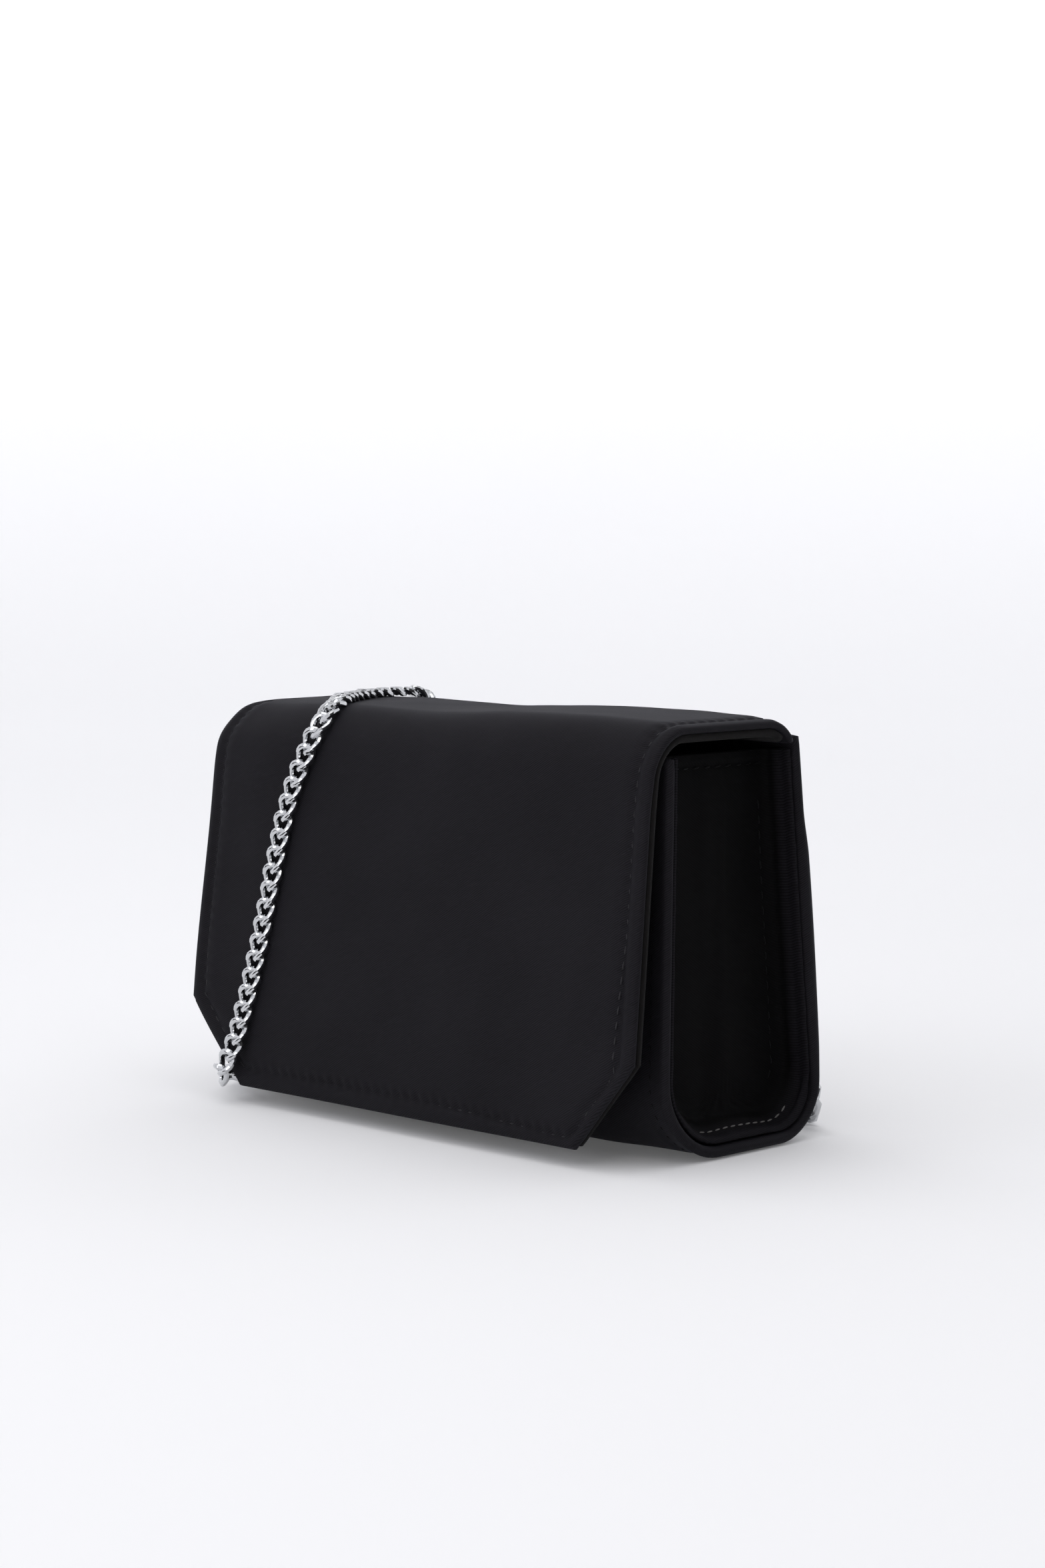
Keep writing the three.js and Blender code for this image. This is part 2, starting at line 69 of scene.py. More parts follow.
# %% [markdown]
# ## Camera
# A long lens a little under a metre away keeps the bag's upright edges nearly parallel. It stands off the
# bag's front right corner, a hand's breadth above the top, and looks slightly down.

# %% Place the camera
CAMERA_AT = Vector((656.4, -655.5, 177.95)) * MM
LOOKS_AT = Vector((-0.78, 11.23, 97.35)) * MM
camera_data = bpy.data.cameras.new("camera")
camera_data.lens = 73.28
camera_data.sensor_width = 36
camera_data.clip_start = 0.05
camera_data.clip_end = 20
camera = bpy.data.objects.new("camera", camera_data)
camera.location = CAMERA_AT
camera.rotation_euler = (LOOKS_AT - CAMERA_AT).to_track_quat("-Z", "Y").to_euler()
bpy.context.scene.collection.objects.link(camera)
bpy.context.scene.camera = camera
print("camera is", round((LOOKS_AT - CAMERA_AT).length, 3), "m from the bag")


# %% [markdown]
# ## Making meshes and finishes
# Every piece is a bmesh that becomes one object at the origin. A finish is a small node tree: the class
# below wraps a socket, so that a sum such as `1 - mask * 0.5` adds its own Math nodes.

# %% Helpers for meshes
def collect(name, bm, finish, sharp_angle=None):
    """Turns a bmesh into a named object with one finish."""
    mesh = bpy.data.meshes.new(name)
    bm.to_mesh(mesh)
    bm.free()
    obj = bpy.data.objects.new(name, mesh)
    bpy.context.scene.collection.objects.link(obj)
    mesh.materials.append(finish)
    mesh.polygons.foreach_set("use_smooth", [True] * len(mesh.polygons))
    if sharp_angle is not None:
        mesh.set_sharp_from_angle(angle=sharp_angle)
    return obj


def smoothstep(low, high, value):
    t = min(1.0, max(0.0, (value - low) / (high - low)))
    return t * t * (3 - 2 * t)


def mix(a, b, t):
    return a + (b - a) * t


# %% Helpers for finishes
class Sock:
    """A socket that takes part in sums."""

    def __init__(self, tree, socket):
        self.tree, self.socket = tree, socket

    def _math(self, operation, a, b=None, clamp=False):
        node = self.tree.nodes.new("ShaderNodeMath")
        node.operation = operation
        node.use_clamp = clamp
        for i, value in enumerate((a, b)):
            if isinstance(value, Sock):
                self.tree.links.new(value.socket, node.inputs[i])
            elif value is not None:
                node.inputs[i].default_value = value
        return Sock(self.tree, node.outputs[0])

    def __add__(self, other):
        return self._math("ADD", self, other)

    def __sub__(self, other):
        return self._math("SUBTRACT", self, other)

    def __rsub__(self, other):
        return self._math("SUBTRACT", other, self)

    def __mul__(self, other):
        return self._math("MULTIPLY", self, other)

    def power(self, other):
        return self._math("POWER", self, other)

    def clamped(self):
        return self._math("ADD", self, 0.0, clamp=True)

    def sine(self):
        return self._math("SINE", self)

    __radd__, __rmul__ = __add__, __mul__


class Finish:
    """A material whose nodes are added one call at a time."""

    def __init__(self, name, **shader):
        self.material = bpy.data.materials.new(name)
        self.material.use_nodes = True
        self.tree = self.material.node_tree
        self.shader = self.tree.nodes["Principled BSDF"]
        self.set(**shader)

    def set(self, **values):
        for key, value in values.items():
            socket = self.shader.inputs[key.replace("_", " ")]
            if isinstance(value, Sock):
                self.tree.links.new(value.socket, socket)
            else:
                socket.default_value = value
        return self

    def node(self, kind, settings=None, out=0, **inputs):
        """Settings come first. An input is given by its name, or as i and its number."""
        node = self.tree.nodes.new("ShaderNode" + kind)
        for key, value in (settings or {}).items():
            setattr(node, key, value)
        for key, value in inputs.items():
            socket = node.inputs[int(key[1:])] if key[0] == "i" and key[1:].isdigit() else node.inputs[key]
            if isinstance(value, Sock):
                self.tree.links.new(value.socket, socket)
            else:
                socket.default_value = value
        return Sock(self.tree, node.outputs[out])

    def cloth_place(self):
        """Distances along the cloth, in millimetres, from the piece's own UV map."""
        uv = self.node("UVMap", {"uv_map": "cloth"})
        return self.node("VectorMath", {"operation": "SCALE"}, Vector=uv, Scale=1000.0)

    def object_place(self):
        place = self.node("TexCoord", out=3)
        return self.node("VectorMath", {"operation": "SCALE"}, Vector=place, Scale=1000.0)

    def axes(self, vector):
        split = self.node("SeparateXYZ", i0=vector).socket.node
        return [Sock(self.tree, s) for s in split.outputs]

    def noise(self, place, scale, detail=3.0, roughness=0.5):
        return self.node("TexNoise", Vector=place, Scale=scale, Detail=detail, Roughness=roughness)

    def colors(self, dark, light, factor):
        return self.mixed((*dark, 1), (*light, 1), factor)

    def mixed(self, color_a, color_b, factor):
        return self.node("Mix", {"data_type": "RGBA"}, out=2, i0=factor, i6=color_a, i7=color_b)

    def bump(self, height, distance, strength=1.0):
        return self.node("Bump", Height=height, Distance=distance, Strength=strength)


# %% [markdown]
# ## Satin
# The cloth is a black duchess satin: a fine steep twill, a soft cool sheen where light grazes it, and
# threads that catch a little light here and there. The twill is a sine across the cloth's own UV map, so
# it follows every fold. The sheen is set on the shader itself, because it is even all over. The gussets lie
# deep between the rims, where little light reaches them, so their panels are painted nearly black as painted
# shade. Their turned-out edges keep colours as light as the flap's.

# %% The satins
# The satin's own colours for the gussets' turned-out edges, outside their painted shade.
EDGE_DARK, EDGE_LIGHT = (0.0030, 0.0028, 0.0036), (0.0175, 0.0165, 0.0198)


def satin(name, dark, light, twill=0.55, index=1.13, sheen=0.03, edge=None):
    """twill is the ribs' pitch in mm. Past edge, along X, the painted shade ends in the edge colours."""
    angle, depth, roughness = math.radians(58), 0.022, (0.55, 0.70)
    f = Finish(name)
    place = f.cloth_place()
    x, y, _ = f.axes(place)
    across = x * math.cos(angle) + y * math.sin(angle)
    wobble = f.noise(place, 0.35, 2.0)
    ribs = ((across + wobble * 0.5) * (2 * math.pi / twill)).sine()
    threads = f.noise(place, 3.2, 2.0, 0.7)
    broad = f.noise(place, 0.02, 2.0)
    tone = (ribs * 0.22 + threads * 0.5 + broad * 0.4).clamped()
    color = f.colors(dark, light, tone)
    # Painted shade: inside edge the cloth keeps its darkened colours, outside it takes the unshaded edge
    # colours.
    if edge is not None:
        across_bag, _, _ = f.axes(f.object_place())
        out = (((across_bag * across_bag).power(0.5) - edge) * 0.4).clamped()
        color = f.mixed(color, f.colors(EDGE_DARK, EDGE_LIGHT, tone), out)
    f.set(
        Base_Color=color,
        Roughness=threads * (roughness[1] - roughness[0]) + roughness[0],
        Normal=f.bump(ribs * 0.5 + threads, depth * MM, 0.8),
        Sheen_Weight=sheen,
        Sheen_Roughness=0.4,
        Sheen_Tint=(0.72, 0.74, 0.95, 1),
        IOR=index,
    )
    return f.material


SATIN = satin("black satin", (0.0024, 0.0023, 0.0029), (0.0205, 0.0193, 0.0232))
# The gussets' colours are painted shade: their recessed panels are made far darker than the satin.
GUSSET_SATIN_PAINTED_SHADE = satin(
    "gusset satin with painted shade", (0.0011, 0.0011, 0.0012), (0.0046, 0.0046, 0.0049),
    twill=0.62, index=1.1, sheen=0.0, edge=82.2,
)

# %% [markdown]
# ## Linings, boards and wadding
# The flap is lined with a suede that drinks the light, the bag with a plain weave, and both are stiffened
# with board and softened with wadding. A nap or a fibre is only noise, so noise makes them. A plain weave
# is two sines that cross. They read Object coordinates, because their pattern is too fine to follow folds.

# %% Suede, inner lining, board and wadding
def suede(name, dark, light):
    f = Finish(name)
    place = f.object_place()
    nap = f.noise(place, 2.4, 4.0, 0.75)
    brushed = f.noise(place, 0.12, 3.0)
    f.set(
        Base_Color=f.colors(dark, light, (nap * 0.6 + brushed * 0.5).clamped()),
        Roughness=0.95,
        Normal=f.bump(nap, 0.12 * MM, 0.7),
        Sheen_Weight=0.03,
        Sheen_Roughness=0.6,
        Specular_IOR_Level=0.1,
    )
    return f.material


SUEDE = suede("suede lining", (0.0022, 0.0021, 0.0021), (0.0075, 0.0068, 0.007))


def plain_weave(name, dark, light, pitch, depth):
    f = Finish(name)
    place = f.object_place()
    x, y, z = f.axes(place)
    turn = 2 * math.pi / pitch
    weave = ((x + y) * turn).sine() * (z * turn).sine()
    slub = f.noise(place, 0.8, 3.0)
    f.set(
        Base_Color=f.colors(dark, light, (weave * 0.25 + slub * 0.8).clamped()),
        Roughness=0.7,
        Normal=f.bump(weave, depth * MM, 0.6),
        Specular_IOR_Level=0.2,
    )
    return f.material


LINING = plain_weave("inner lining", (0.004, 0.0038, 0.0044), (0.012, 0.011, 0.0125), 0.5, 0.04)


def board(name, dark, light):
    f = Finish(name)
    place = f.object_place()
    fibres = f.noise(place, 0.9, 6.0, 0.7)
    f.set(
        Base_Color=f.colors(dark, light, fibres),
        Roughness=0.9,
        Normal=f.bump(fibres, 0.1 * MM, 0.5),
    )
    return f.material


BOARD = board("stiffening board", (0.30, 0.25, 0.18), (0.52, 0.46, 0.37))
WADDING = board("wadding", (0.45, 0.45, 0.46), (0.72, 0.72, 0.73))

# %% [markdown]
# ## Metal
# The chain is chrome plated and the snap is dull steel. What makes metal look real is that its gloss isn't
# even, so faint scratches change the colour, the roughness and the bump together.

# %% Chrome and steel
def metal(name, color, roughness, scratch_scale, wear):
    f = Finish(name)
    place = f.object_place()
    scratches = f.noise(place, scratch_scale, 4.0, 0.6)
    f.set(
        Base_Color=f.colors([c * (1 - wear) for c in color], color, scratches),
        Metallic=1.0,
        Roughness=scratches * roughness[1] + roughness[0],
        Normal=f.bump(scratches, 0.01 * MM, 0.4),
    )
    return f.material


CHROME = metal("polished chain", (0.6, 0.61, 0.625), (0.05, 0.07), 1.2, 0.12)
RING_CHROME = metal("polished ring", (0.86, 0.87, 0.885), (0.08, 0.1), 1.0, 0.1)
STEEL = metal("snap steel", (0.62, 0.63, 0.65), (0.28, 0.14), 0.8, 0.25)

# %% [markdown]
# ## Thread
# Most seams are sewn in black thread, duller than the satin. On the gussets and the body the same thread is
# made much darker, as painted shade. The fold under each gusset is held by a paler one. A stitch is too small
# for its twist to be modelled, so a little noise stands for it.

# %% Three threads
def thread(name, color, gloss=0.15):
    f = Finish(name)
    place = f.object_place()
    twist = f.noise(place, 2.5, 3.0)
    f.set(
        Base_Color=f.colors([c * 0.6 for c in color], color, twist),
        Roughness=0.5,
        Normal=f.bump(twist, 0.05 * MM, 0.6),
        Specular_IOR_Level=gloss,
    )
    return f.material


THREAD = thread("black thread", (0.024, 0.023, 0.026))
# Painted shade: the same black thread made much darker, for the seams on the shaded gussets and body.
SHADED_THREAD = thread("black thread with painted shade", (0.003, 0.003, 0.0035), 0.08)
PALE_THREAD = thread("pale thread", (0.16, 0.155, 0.15))
print("finishes:", len(bpy.data.materials))

# %% [markdown]
# ## The studio
# The bag stands in a pale bowl: a floor whose edge sweeps up on every side, so no horizon shows from any
# direction. A profile of a few points is spun round the upright axis. Large soft lights hang above it, in
# front of it and to its right, and the sky over it is pale as well.

# %% Floor and backdrop in one
def studio_paint():
    """Pale paint. The walls glow a little, because the lamps over the floor don't reach them."""
    f = Finish("studio paint")
    place = f.object_place()
    tone = f.noise(place, 0.002, 2.0)
    x, y, height = f.axes(place)
    outwards = (((x * x + y * y).power(0.5) - 500.0) * (1 / 1200.0)).clamped()
    upwards = (height * (1 / 400.0)).clamped()
    high = ((height - 600.0) * (1 / 700.0)).clamped()
    glow = (outwards * 0.3 + upwards * 0.7 - high * 0.35).clamped()
    f.set(
        Base_Color=f.colors((0.80, 0.80, 0.815), (0.82, 0.82, 0.835), tone),
        Roughness=0.9,
        Emission_Color=f.colors((0.075, 0.075, 0.075), (0.345, 0.345, 0.35), glow),
        Emission_Strength=1.0,
        Specular_IOR_Level=0.1,
    )
    return f.material


SWEEP_START, SWEEP_ROUND, WALL_TOP = 1.7, 1.3, 3.2
SWEEP_STEPS = 12
bowl = bmesh.new()
corner = [bowl.verts.new((0, 0, 0)), bowl.verts.new((SWEEP_START, 0, 0))]
for step in range(1, SWEEP_STEPS + 1):
    turn = math.radians(90 * step / SWEEP_STEPS)
    corner.append(
        bowl.verts.new((SWEEP_START + SWEEP_ROUND * math.sin(turn), 0, SWEEP_ROUND * (1 - math.cos(turn))))
    )
corner.append(bowl.verts.new((SWEEP_START + SWEEP_ROUND, 0, WALL_TOP)))
sides = [bowl.edges.new(pair) for pair in zip(corner, corner[1:])]
bmesh.ops.spin(
    bowl, geom=corner + sides, cent=(0, 0, 0), axis=(0, 0, 1), angle=2 * math.pi, steps=96, use_merge=True
)
bmesh.ops.remove_doubles(bowl, verts=bowl.verts, dist=1e-5)
bmesh.ops.recalc_face_normals(bowl, faces=bowl.faces)
studio = collect("studio", bowl, studio_paint())
print("studio bowl:", len(studio.data.polygons), "faces")

# %% [markdown]
# ## Lights
# Black satin shows its shape only where something bright is mirrored softly in it, so the lamps are wide.
# Chrome is the opposite: it mirrors all of the pale room and would look white. Dark cards that the camera
# doesn't see give it something dark to mirror.

# %% Lamps, cards and sky
def soft_light(name, place, aim, size, watts, color=(1, 1, 1)):
    data = bpy.data.lights.new(name, "AREA")
    data.shape = "RECTANGLE"
    data.size, data.size_y = size
    data.energy = watts
    data.color = color
    lamp = bpy.data.objects.new(name, data)
    lamp.location = place
    lamp.rotation_euler = (Vector(aim) - Vector(place)).to_track_quat("-Z", "Y").to_euler()
    bpy.context.scene.collection.objects.link(lamp)


soft_light("top light", (-0.1, -0.1, 1.5), (0, 0, 0.05), (1.3, 1.3), 5.5, (1.0, 0.99, 0.98))
soft_light("front light", (-0.35, -1.35, 0.75), (0, 0, 0.07), (0.9, 0.9), 3.4, (0.95, 0.96, 1.0))
soft_light("right light", (0.75, -0.75, 0.95), (0.05, 0, 0.06), (0.5, 0.5), 1.7, (1.0, 0.97, 0.95))


def dark_flag(name, place, aim, size):
    """A dark card that the camera doesn't see. Polished metal needs something dark to reflect."""
    bm = bmesh.new()
    turn = (Vector(aim) - Vector(place)).to_track_quat("-Z", "Y").to_matrix().to_4x4()
    bmesh.ops.create_grid(bm, x_segments=2, y_segments=2, size=0.5)
    spot = Matrix.Translation(place) @ turn @ Matrix.Diagonal((*size, 1, 1))
    bmesh.ops.transform(bm, matrix=spot, verts=bm.verts)
    card = collect(name, bm, card_paint)
    card.visible_camera = False


paint = Finish("dark card")
paint_tone = paint.noise(paint.object_place(), 0.01)
card_paint = paint.set(Base_Color=paint.colors((0.01, 0.01, 0.01), (0.02, 0.02, 0.02), paint_tone)).material
dark_flag("camera side flag", (0.95, -0.75, 0.35), (0, 0, 0.08), (0.5, 1.1))
dark_flag("right side flag", (1.0, 0.45, 0.3), (0, 0, 0.08), (0.9, 0.7))
dark_flag("low left flag", (-0.7, -1.0, 0.12), (0, 0, 0.08), (0.9, 0.2))
world = bpy.data.worlds.new("sky")
world.use_nodes = True
world.node_tree.nodes["Background"].inputs["Color"].default_value = (0.95, 0.955, 0.97, 1)
world.node_tree.nodes["Background"].inputs["Strength"].default_value = 0.75
bpy.context.scene.world = world
bpy.context.scene.view_settings.view_transform = "Standard"

# %% [markdown]
# ## The chain's route
# The strap is a limp curb chain. One end hangs from the left ring, comes up the back, crosses the flap,
# runs down its front and goes round its lower left corner. The rest lies folded in a flat hank behind the
# bag, and its last length rises to the right ring. The route is a smooth line through a few points. Each
# point also says which way the chain's flat side looks there.

# %% Points of the route, in millimetres: place, then the way the flat side looks
BACK, UP, FRONT = (0, 1, 0.1), (0, 0, 1), (0, -1, 0.085)
LEFT_ROUTE = [
    ((-80, 35.0, 97.8), (0.6, 0.8, 0)),
    ((-80, 35.8, 92), (0.4, 0.9, 0)),
    ((-79, 37, 86), (0.2, 1, 0)),
    ((-75.5, 37.8, 80.5), BACK),
    ((-69.5, 38.1, 78.2), BACK),
    ((-63.5, 37.7, 81), BACK),
    ((-60, 36.8, 87.5), BACK),
    ((-59.4, 35.6, 98), BACK),
    ((-60.3, 34.5, 107), BACK),
    ((-61.2, 33.9, 112.6), (0, 1, 0.25)),
    ((-62, 33.9, 117.2), (0, 0.8, 0.6)),
    ((-62.8, 31.8, 120.4), (0, 0.55, 0.83)),
    ((-63.3, 28.2, 122.4), (0, 0.3, 0.95)),
    ((-64, 21, 123.1), UP),
    ((-63.6, 12, 123.1), UP),
    ((-59.8, 2, 123.1), UP),
    ((-54, -9, 123.1), UP),
    ((-48.5, -17, 123.1), (0, -0.15, 1)),
    ((-45, -22.8, 122.1), (0, -0.42, 0.9)),
    ((-43.3, -27.3, 120.2), (0, -0.68, 0.73)),
    ((-42, -31.1, 116.9), (0, -0.9, 0.43)),
    ((-42.6, -34, 112.2), (0, -0.98, 0.17)),
    ((-45.6, -35.3, 105), FRONT),
    ((-49.2, -36.2, 97), FRONT),
    ((-52.4, -37.1, 87), FRONT),
    ((-55.5, -38.1, 74), FRONT),
    ((-58.4, -39.2, 60), FRONT),
    ((-61.4, -40.4, 46), FRONT),
    ((-65.3, -41.7, 31), FRONT),
    ((-69.5, -42.9, 18), FRONT),
    ((-73, -43.8, 11.3), (-0.25, -0.95, -0.15)),
    ((-75.7, -42.3, 8), (-0.55, -0.6, -0.55)),
    ((-76.4, -39.2, 7.2), (-0.7, 0.1, -0.7)),
    ((-75.2, -34.6, 7.2), (-0.3, 0.3, -0.9)),
    ((-77.5, -30.9, 7), UP),
    ((-84, -28, 6.6), UP),
    ((-92.3, -22.5, 5.6), UP),
    ((-96, -12, 4.2), UP),
    ((-97.8, 0, 2.6), UP),
    ((-98.5, 18, 2.1), UP),
    ((-97.2, 36, 2.1), UP),
    ((-93.7, 51, 2.1), UP),
    ((-91, 61, 2.1), UP),
]
RIGHT_ROUTE = [
    ((19.8, 73, 6.0), UP),
    ((27, 73.8, 3.8), UP),
    ((34, 74.5, 2.1), UP),
    ((44, 72, 2.1), UP),
    ((55, 66, 2.1), UP),
    ((66, 58.5, 2.1), UP),
    ((74, 52.5, 3), (-0.3, 0.3, 0.9)),
    ((78.6, 48.5, 8.5), (-0.1, 0.8, 0.3)),
    ((79.9, 45.6, 20), BACK),
    ((80, 43.4, 40), BACK),
    ((80, 40.2, 65), BACK),
    ((80, 37.6, 84), (0.3, 0.9, 0)),
    ((80, 35.0, 97.8), (0.6, 0.8, 0)),
]

# %% [markdown]
# ## The spare chain
# Nearly half of the strap is spare. It is folded flat on the floor, close behind the bag, as a hank of two
# layers: along the far run, round the right fold, back along the near run while it climbs, round the left
# fold over its own start, and along the far run again.

# %% The hank's turns
HANK_FOLD = 20.0
LEFT_FOLD, RIGHT_FOLD, HANK_Y = -70.0, -4.0, 72.0
LOW_LAYER, HIGH_LAYER = 2.1, 6.0


def fold(center_x, start, end, heights):
    """Points round one fold; turns are in degrees and run clockwise seen from above."""
    count = len(heights)
    turns = [math.radians(mix(start, end, i / (count - 1))) for i in range(count)]
    return [
        ((center_x + HANK_FOLD * math.cos(t), HANK_Y + HANK_FOLD * math.sin(t), z), UP)
        for t, z in zip(turns, heights)
    ]


far_y, near_y = HANK_Y + HANK_FOLD, HANK_Y - HANK_FOLD
hank_route = (
    fold(LEFT_FOLD, 175, 90, [LOW_LAYER] * 5)
    + [((x, far_y, LOW_LAYER), UP) for x in (-54, -37, -20)]
    + fold(RIGHT_FOLD, 90, -90, [LOW_LAYER] * 8)
    + [((-24, near_y, LOW_LAYER), UP), ((-40, near_y, 2.9), UP), ((-54, near_y, 4.9), UP)]
    + fold(LEFT_FOLD, 270, 90, [HIGH_LAYER + 0.1] * 8)
    + [((x, far_y, HIGH_LAYER), UP) for x in (-54, -37, -20)]
    + [((-6, 91.4, HIGH_LAYER), UP), ((4, 88.0, HIGH_LAYER), UP), ((11.5, 80.5, HIGH_LAYER), UP)]
)
REST_ROUTE = LEFT_ROUTE[32:] + hank_route + RIGHT_ROUTE


# %% [markdown]
# ## A smooth line through the points
# A Catmull-Rom line passes through every point. Its centripetal form, where the spacing of the points sets
# its pace, makes no loops at tight bends. It is sampled finely, with the chain's flat side turned along.

# %% The line sampler
FINE = 24  # samples between two points of a route


def smooth_line(route):
    places = [Vector(p) for p, _ in route]
    looks = [Vector(n).normalized() for _, n in route]
    ends = [2 * places[0] - places[1]] + places + [2 * places[-1] - places[-2]]
    line = []
    for i in range(len(places) - 1):
        p0, p1, p2, p3 = ends[i : i + 4]
        t0 = 0.0
        t1 = t0 + (p1 - p0).length ** 0.5
        t2 = t1 + (p2 - p1).length ** 0.5
        t3 = t2 + (p3 - p2).length ** 0.5
        after = looks[i + 1] if looks[i].dot(looks[i + 1]) > 0 else -looks[i + 1]
        for k in range(FINE):
            t = mix(t1, t2, k / FINE)
            a1 = p0 * ((t1 - t) / (t1 - t0)) + p1 * ((t - t0) / (t1 - t0))
            a2 = p1 * ((t2 - t) / (t2 - t1)) + p2 * ((t - t1) / (t2 - t1))
            a3 = p2 * ((t3 - t) / (t3 - t2)) + p3 * ((t - t2) / (t3 - t2))
            b1 = a1 * ((t2 - t) / (t2 - t0)) + a2 * ((t - t0) / (t2 - t0))
            b2 = a2 * ((t3 - t) / (t3 - t1)) + a3 * ((t - t1) / (t3 - t1))
            place = b1 * ((t2 - t) / (t2 - t1)) + b2 * ((t - t1) / (t2 - t1))
            line.append((place, looks[i].lerp(after, k / FINE).normalized()))
    line.append((places[-1], looks[-1]))
    return line


class ChainLine:
    """A sampled line that can be walked by distance."""

    def __init__(self, route):
        self.line = smooth_line(route)
        self.at = [0.0]
        for (a, _), (b, _) in zip(self.line, self.line[1:]):
            self.at.append(self.at[-1] + (b - a).length)
        self.length = self.at[-1]

    def frame(self, s):
        s = min(max(s, 0.0), self.length)
        k = next((i for i, d in enumerate(self.at) if d > s), len(self.at) - 1)
        a, b = self.line[k - 1], self.line[k]
        t = (s - self.at[k - 1]) / max(1e-9, self.at[k] - self.at[k - 1])
        look = b[1] if a[1].dot(b[1]) > 0 else -b[1]
        along = (b[0] - a[0]).normalized()
        side = a[1].lerp(look, t).cross(along).normalized()
        return a[0].lerp(b[0], t), along, side, along.cross(side)

    def distance_at(self, route_point):
        """The distance where the line passes a point of its route, counted from 0."""
        return self.at[min(len(self.at) - 1, round(route_point * FINE))]

    def stretch(self, start, end, step=3.0):
        count = max(2, round((end - start) / step))
        return [self.frame(mix(start, end, i / count))[0] * MM for i in range(count + 1)]


left_line, rest_line = ChainLine(LEFT_ROUTE), ChainLine(REST_ROUTE)
print("left length", round(left_line.length), "mm, the rest", round(rest_line.length), "mm")

# %% [markdown]
# ## A curb link
# A link is a ring of round wire drawn out to an oval and twisted, so that its two ends lean opposite ways
# and the next link hooks through it while both lie flat. A curb chain is then ground, which leaves bright
# flat faces. The ring is a circle spun round; the oval, the twist and the grinding move its vertices.

# %% The link
LINK_PITCH = 5.4
LINK_LONG, LINK_WIDE = 3.7, 2.75  # of the wire's middle line, from the link's centre
WIRE = 1.0
TWIST = math.radians(37)
GROUND_TOP, GROUND_SIDE = 1.4, 3.4


def curb_link(turns, sides):
    bm = bmesh.new()
    bmesh.ops.create_circle(bm, segments=sides, radius=WIRE)
    start_ring = Matrix.Translation((LINK_LONG, 0, 0)) @ Matrix.Rotation(math.pi / 2, 4, "X")
    bmesh.ops.transform(bm, matrix=start_ring, verts=bm.verts)
    bmesh.ops.spin(
        bm, geom=bm.verts[:] + bm.edges[:], cent=(0, 0, 0), axis=(0, 0, 1), angle=2 * math.pi,
        steps=turns, use_merge=True,
    )
    bmesh.ops.remove_doubles(bm, verts=bm.verts, dist=1e-4)
    for v in bm.verts:
        turn = math.atan2(v.co.y, v.co.x)
        out = math.hypot(v.co.x, v.co.y) - LINK_LONG
        away = Vector((LINK_WIDE * math.cos(turn), LINK_LONG * math.sin(turn), 0)).normalized()
        flat = Vector((LINK_LONG * math.cos(turn), LINK_WIDE * math.sin(turn), v.co.z)) + away * out
        angle = TWIST * min(1.0, max(-1.0, flat.x / LINK_LONG))
        y = flat.y * math.cos(angle) - flat.z * math.sin(angle)
        z = flat.y * math.sin(angle) + flat.z * math.cos(angle)
        v.co = (
            flat.x,
            min(GROUND_SIDE, max(-GROUND_SIDE, y)),
            min(GROUND_TOP, max(-GROUND_TOP, z)),
        )
    bmesh.ops.recalc_face_normals(bm, faces=bm.faces)
    mesh = bpy.data.meshes.new("link")
    bm.to_mesh(mesh)
    bm.free()
    return mesh


fine_link, plain_link = curb_link(20, 9), curb_link(10, 6)


def lay_chain(name, line, start, end, link, sink=None, first=0.0, finish=CHROME):
    """Links from one distance to another, their centres a pitch apart along the line."""
    sink = sink or (lambda s: 0.0)
    bm = bmesh.new()
    count = 0
    k = math.ceil((start - first) / LINK_PITCH)
    while first + k * LINK_PITCH < end:
        middle = first + k * LINK_PITCH
        place, along, side, up = line.frame(middle)
        depth = sink(middle)
        wander = noise.noise(Vector((k * 0.71, 2.0, line.length)))
        roll = Matrix.Rotation(math.radians(9) * wander, 4, "X")
        turn = Matrix((along, side, up)).transposed().to_4x4()
        spot = Matrix.Translation((place - up * depth) * MM) @ turn @ roll @ Matrix.Scale(MM, 4)
        before = len(bm.verts)
        bm.from_mesh(link)
        bm.verts.ensure_lookup_table()
        bmesh.ops.transform(bm, matrix=spot, verts=bm.verts[before:])
        count += 1
        k += 1
    obj = collect(name, bm, finish, sharp_angle=math.radians(32))
    print(name, count, "links", round(end - start, 1), "mm")
    return obj


# %% [markdown]
# ## The strap in four pieces
# The chain crosses three hinges, and a piece can bend round only one, so the strap is four pieces end to end.

# %% The strap's pieces
hinge_start = left_line.distance_at(7.6)
front_start = left_line.distance_at(14.2)
wrap_end = left_line.distance_at(31.6)
TOP_SINK, FRONT_SINK = 1.4, 0.45
over_edge = (left_line.distance_at(18), left_line.distance_at(22))


def surface_sink(s):
    """The route stands clear of the cloth. The links lie on it."""
    return mix(TOP_SINK, FRONT_SINK, smoothstep(*over_edge, s))


FIRST_LINK = 0.9
strap_back = lay_chain("strap_back", left_line, 0.0, hinge_start, fine_link, first=FIRST_LINK)
strap_hinge = lay_chain(
    "strap_hinge", left_line, hinge_start, front_start, fine_link, surface_sink, FIRST_LINK
)
strap_front = lay_chain("strap_front", left_line, front_start, wrap_end, fine_link, surface_sink, FIRST_LINK)
strap_rest = lay_chain(
    "strap_rest", rest_line, 0.0, rest_line.length, plain_link, first=rest_line.length - FIRST_LINK
)

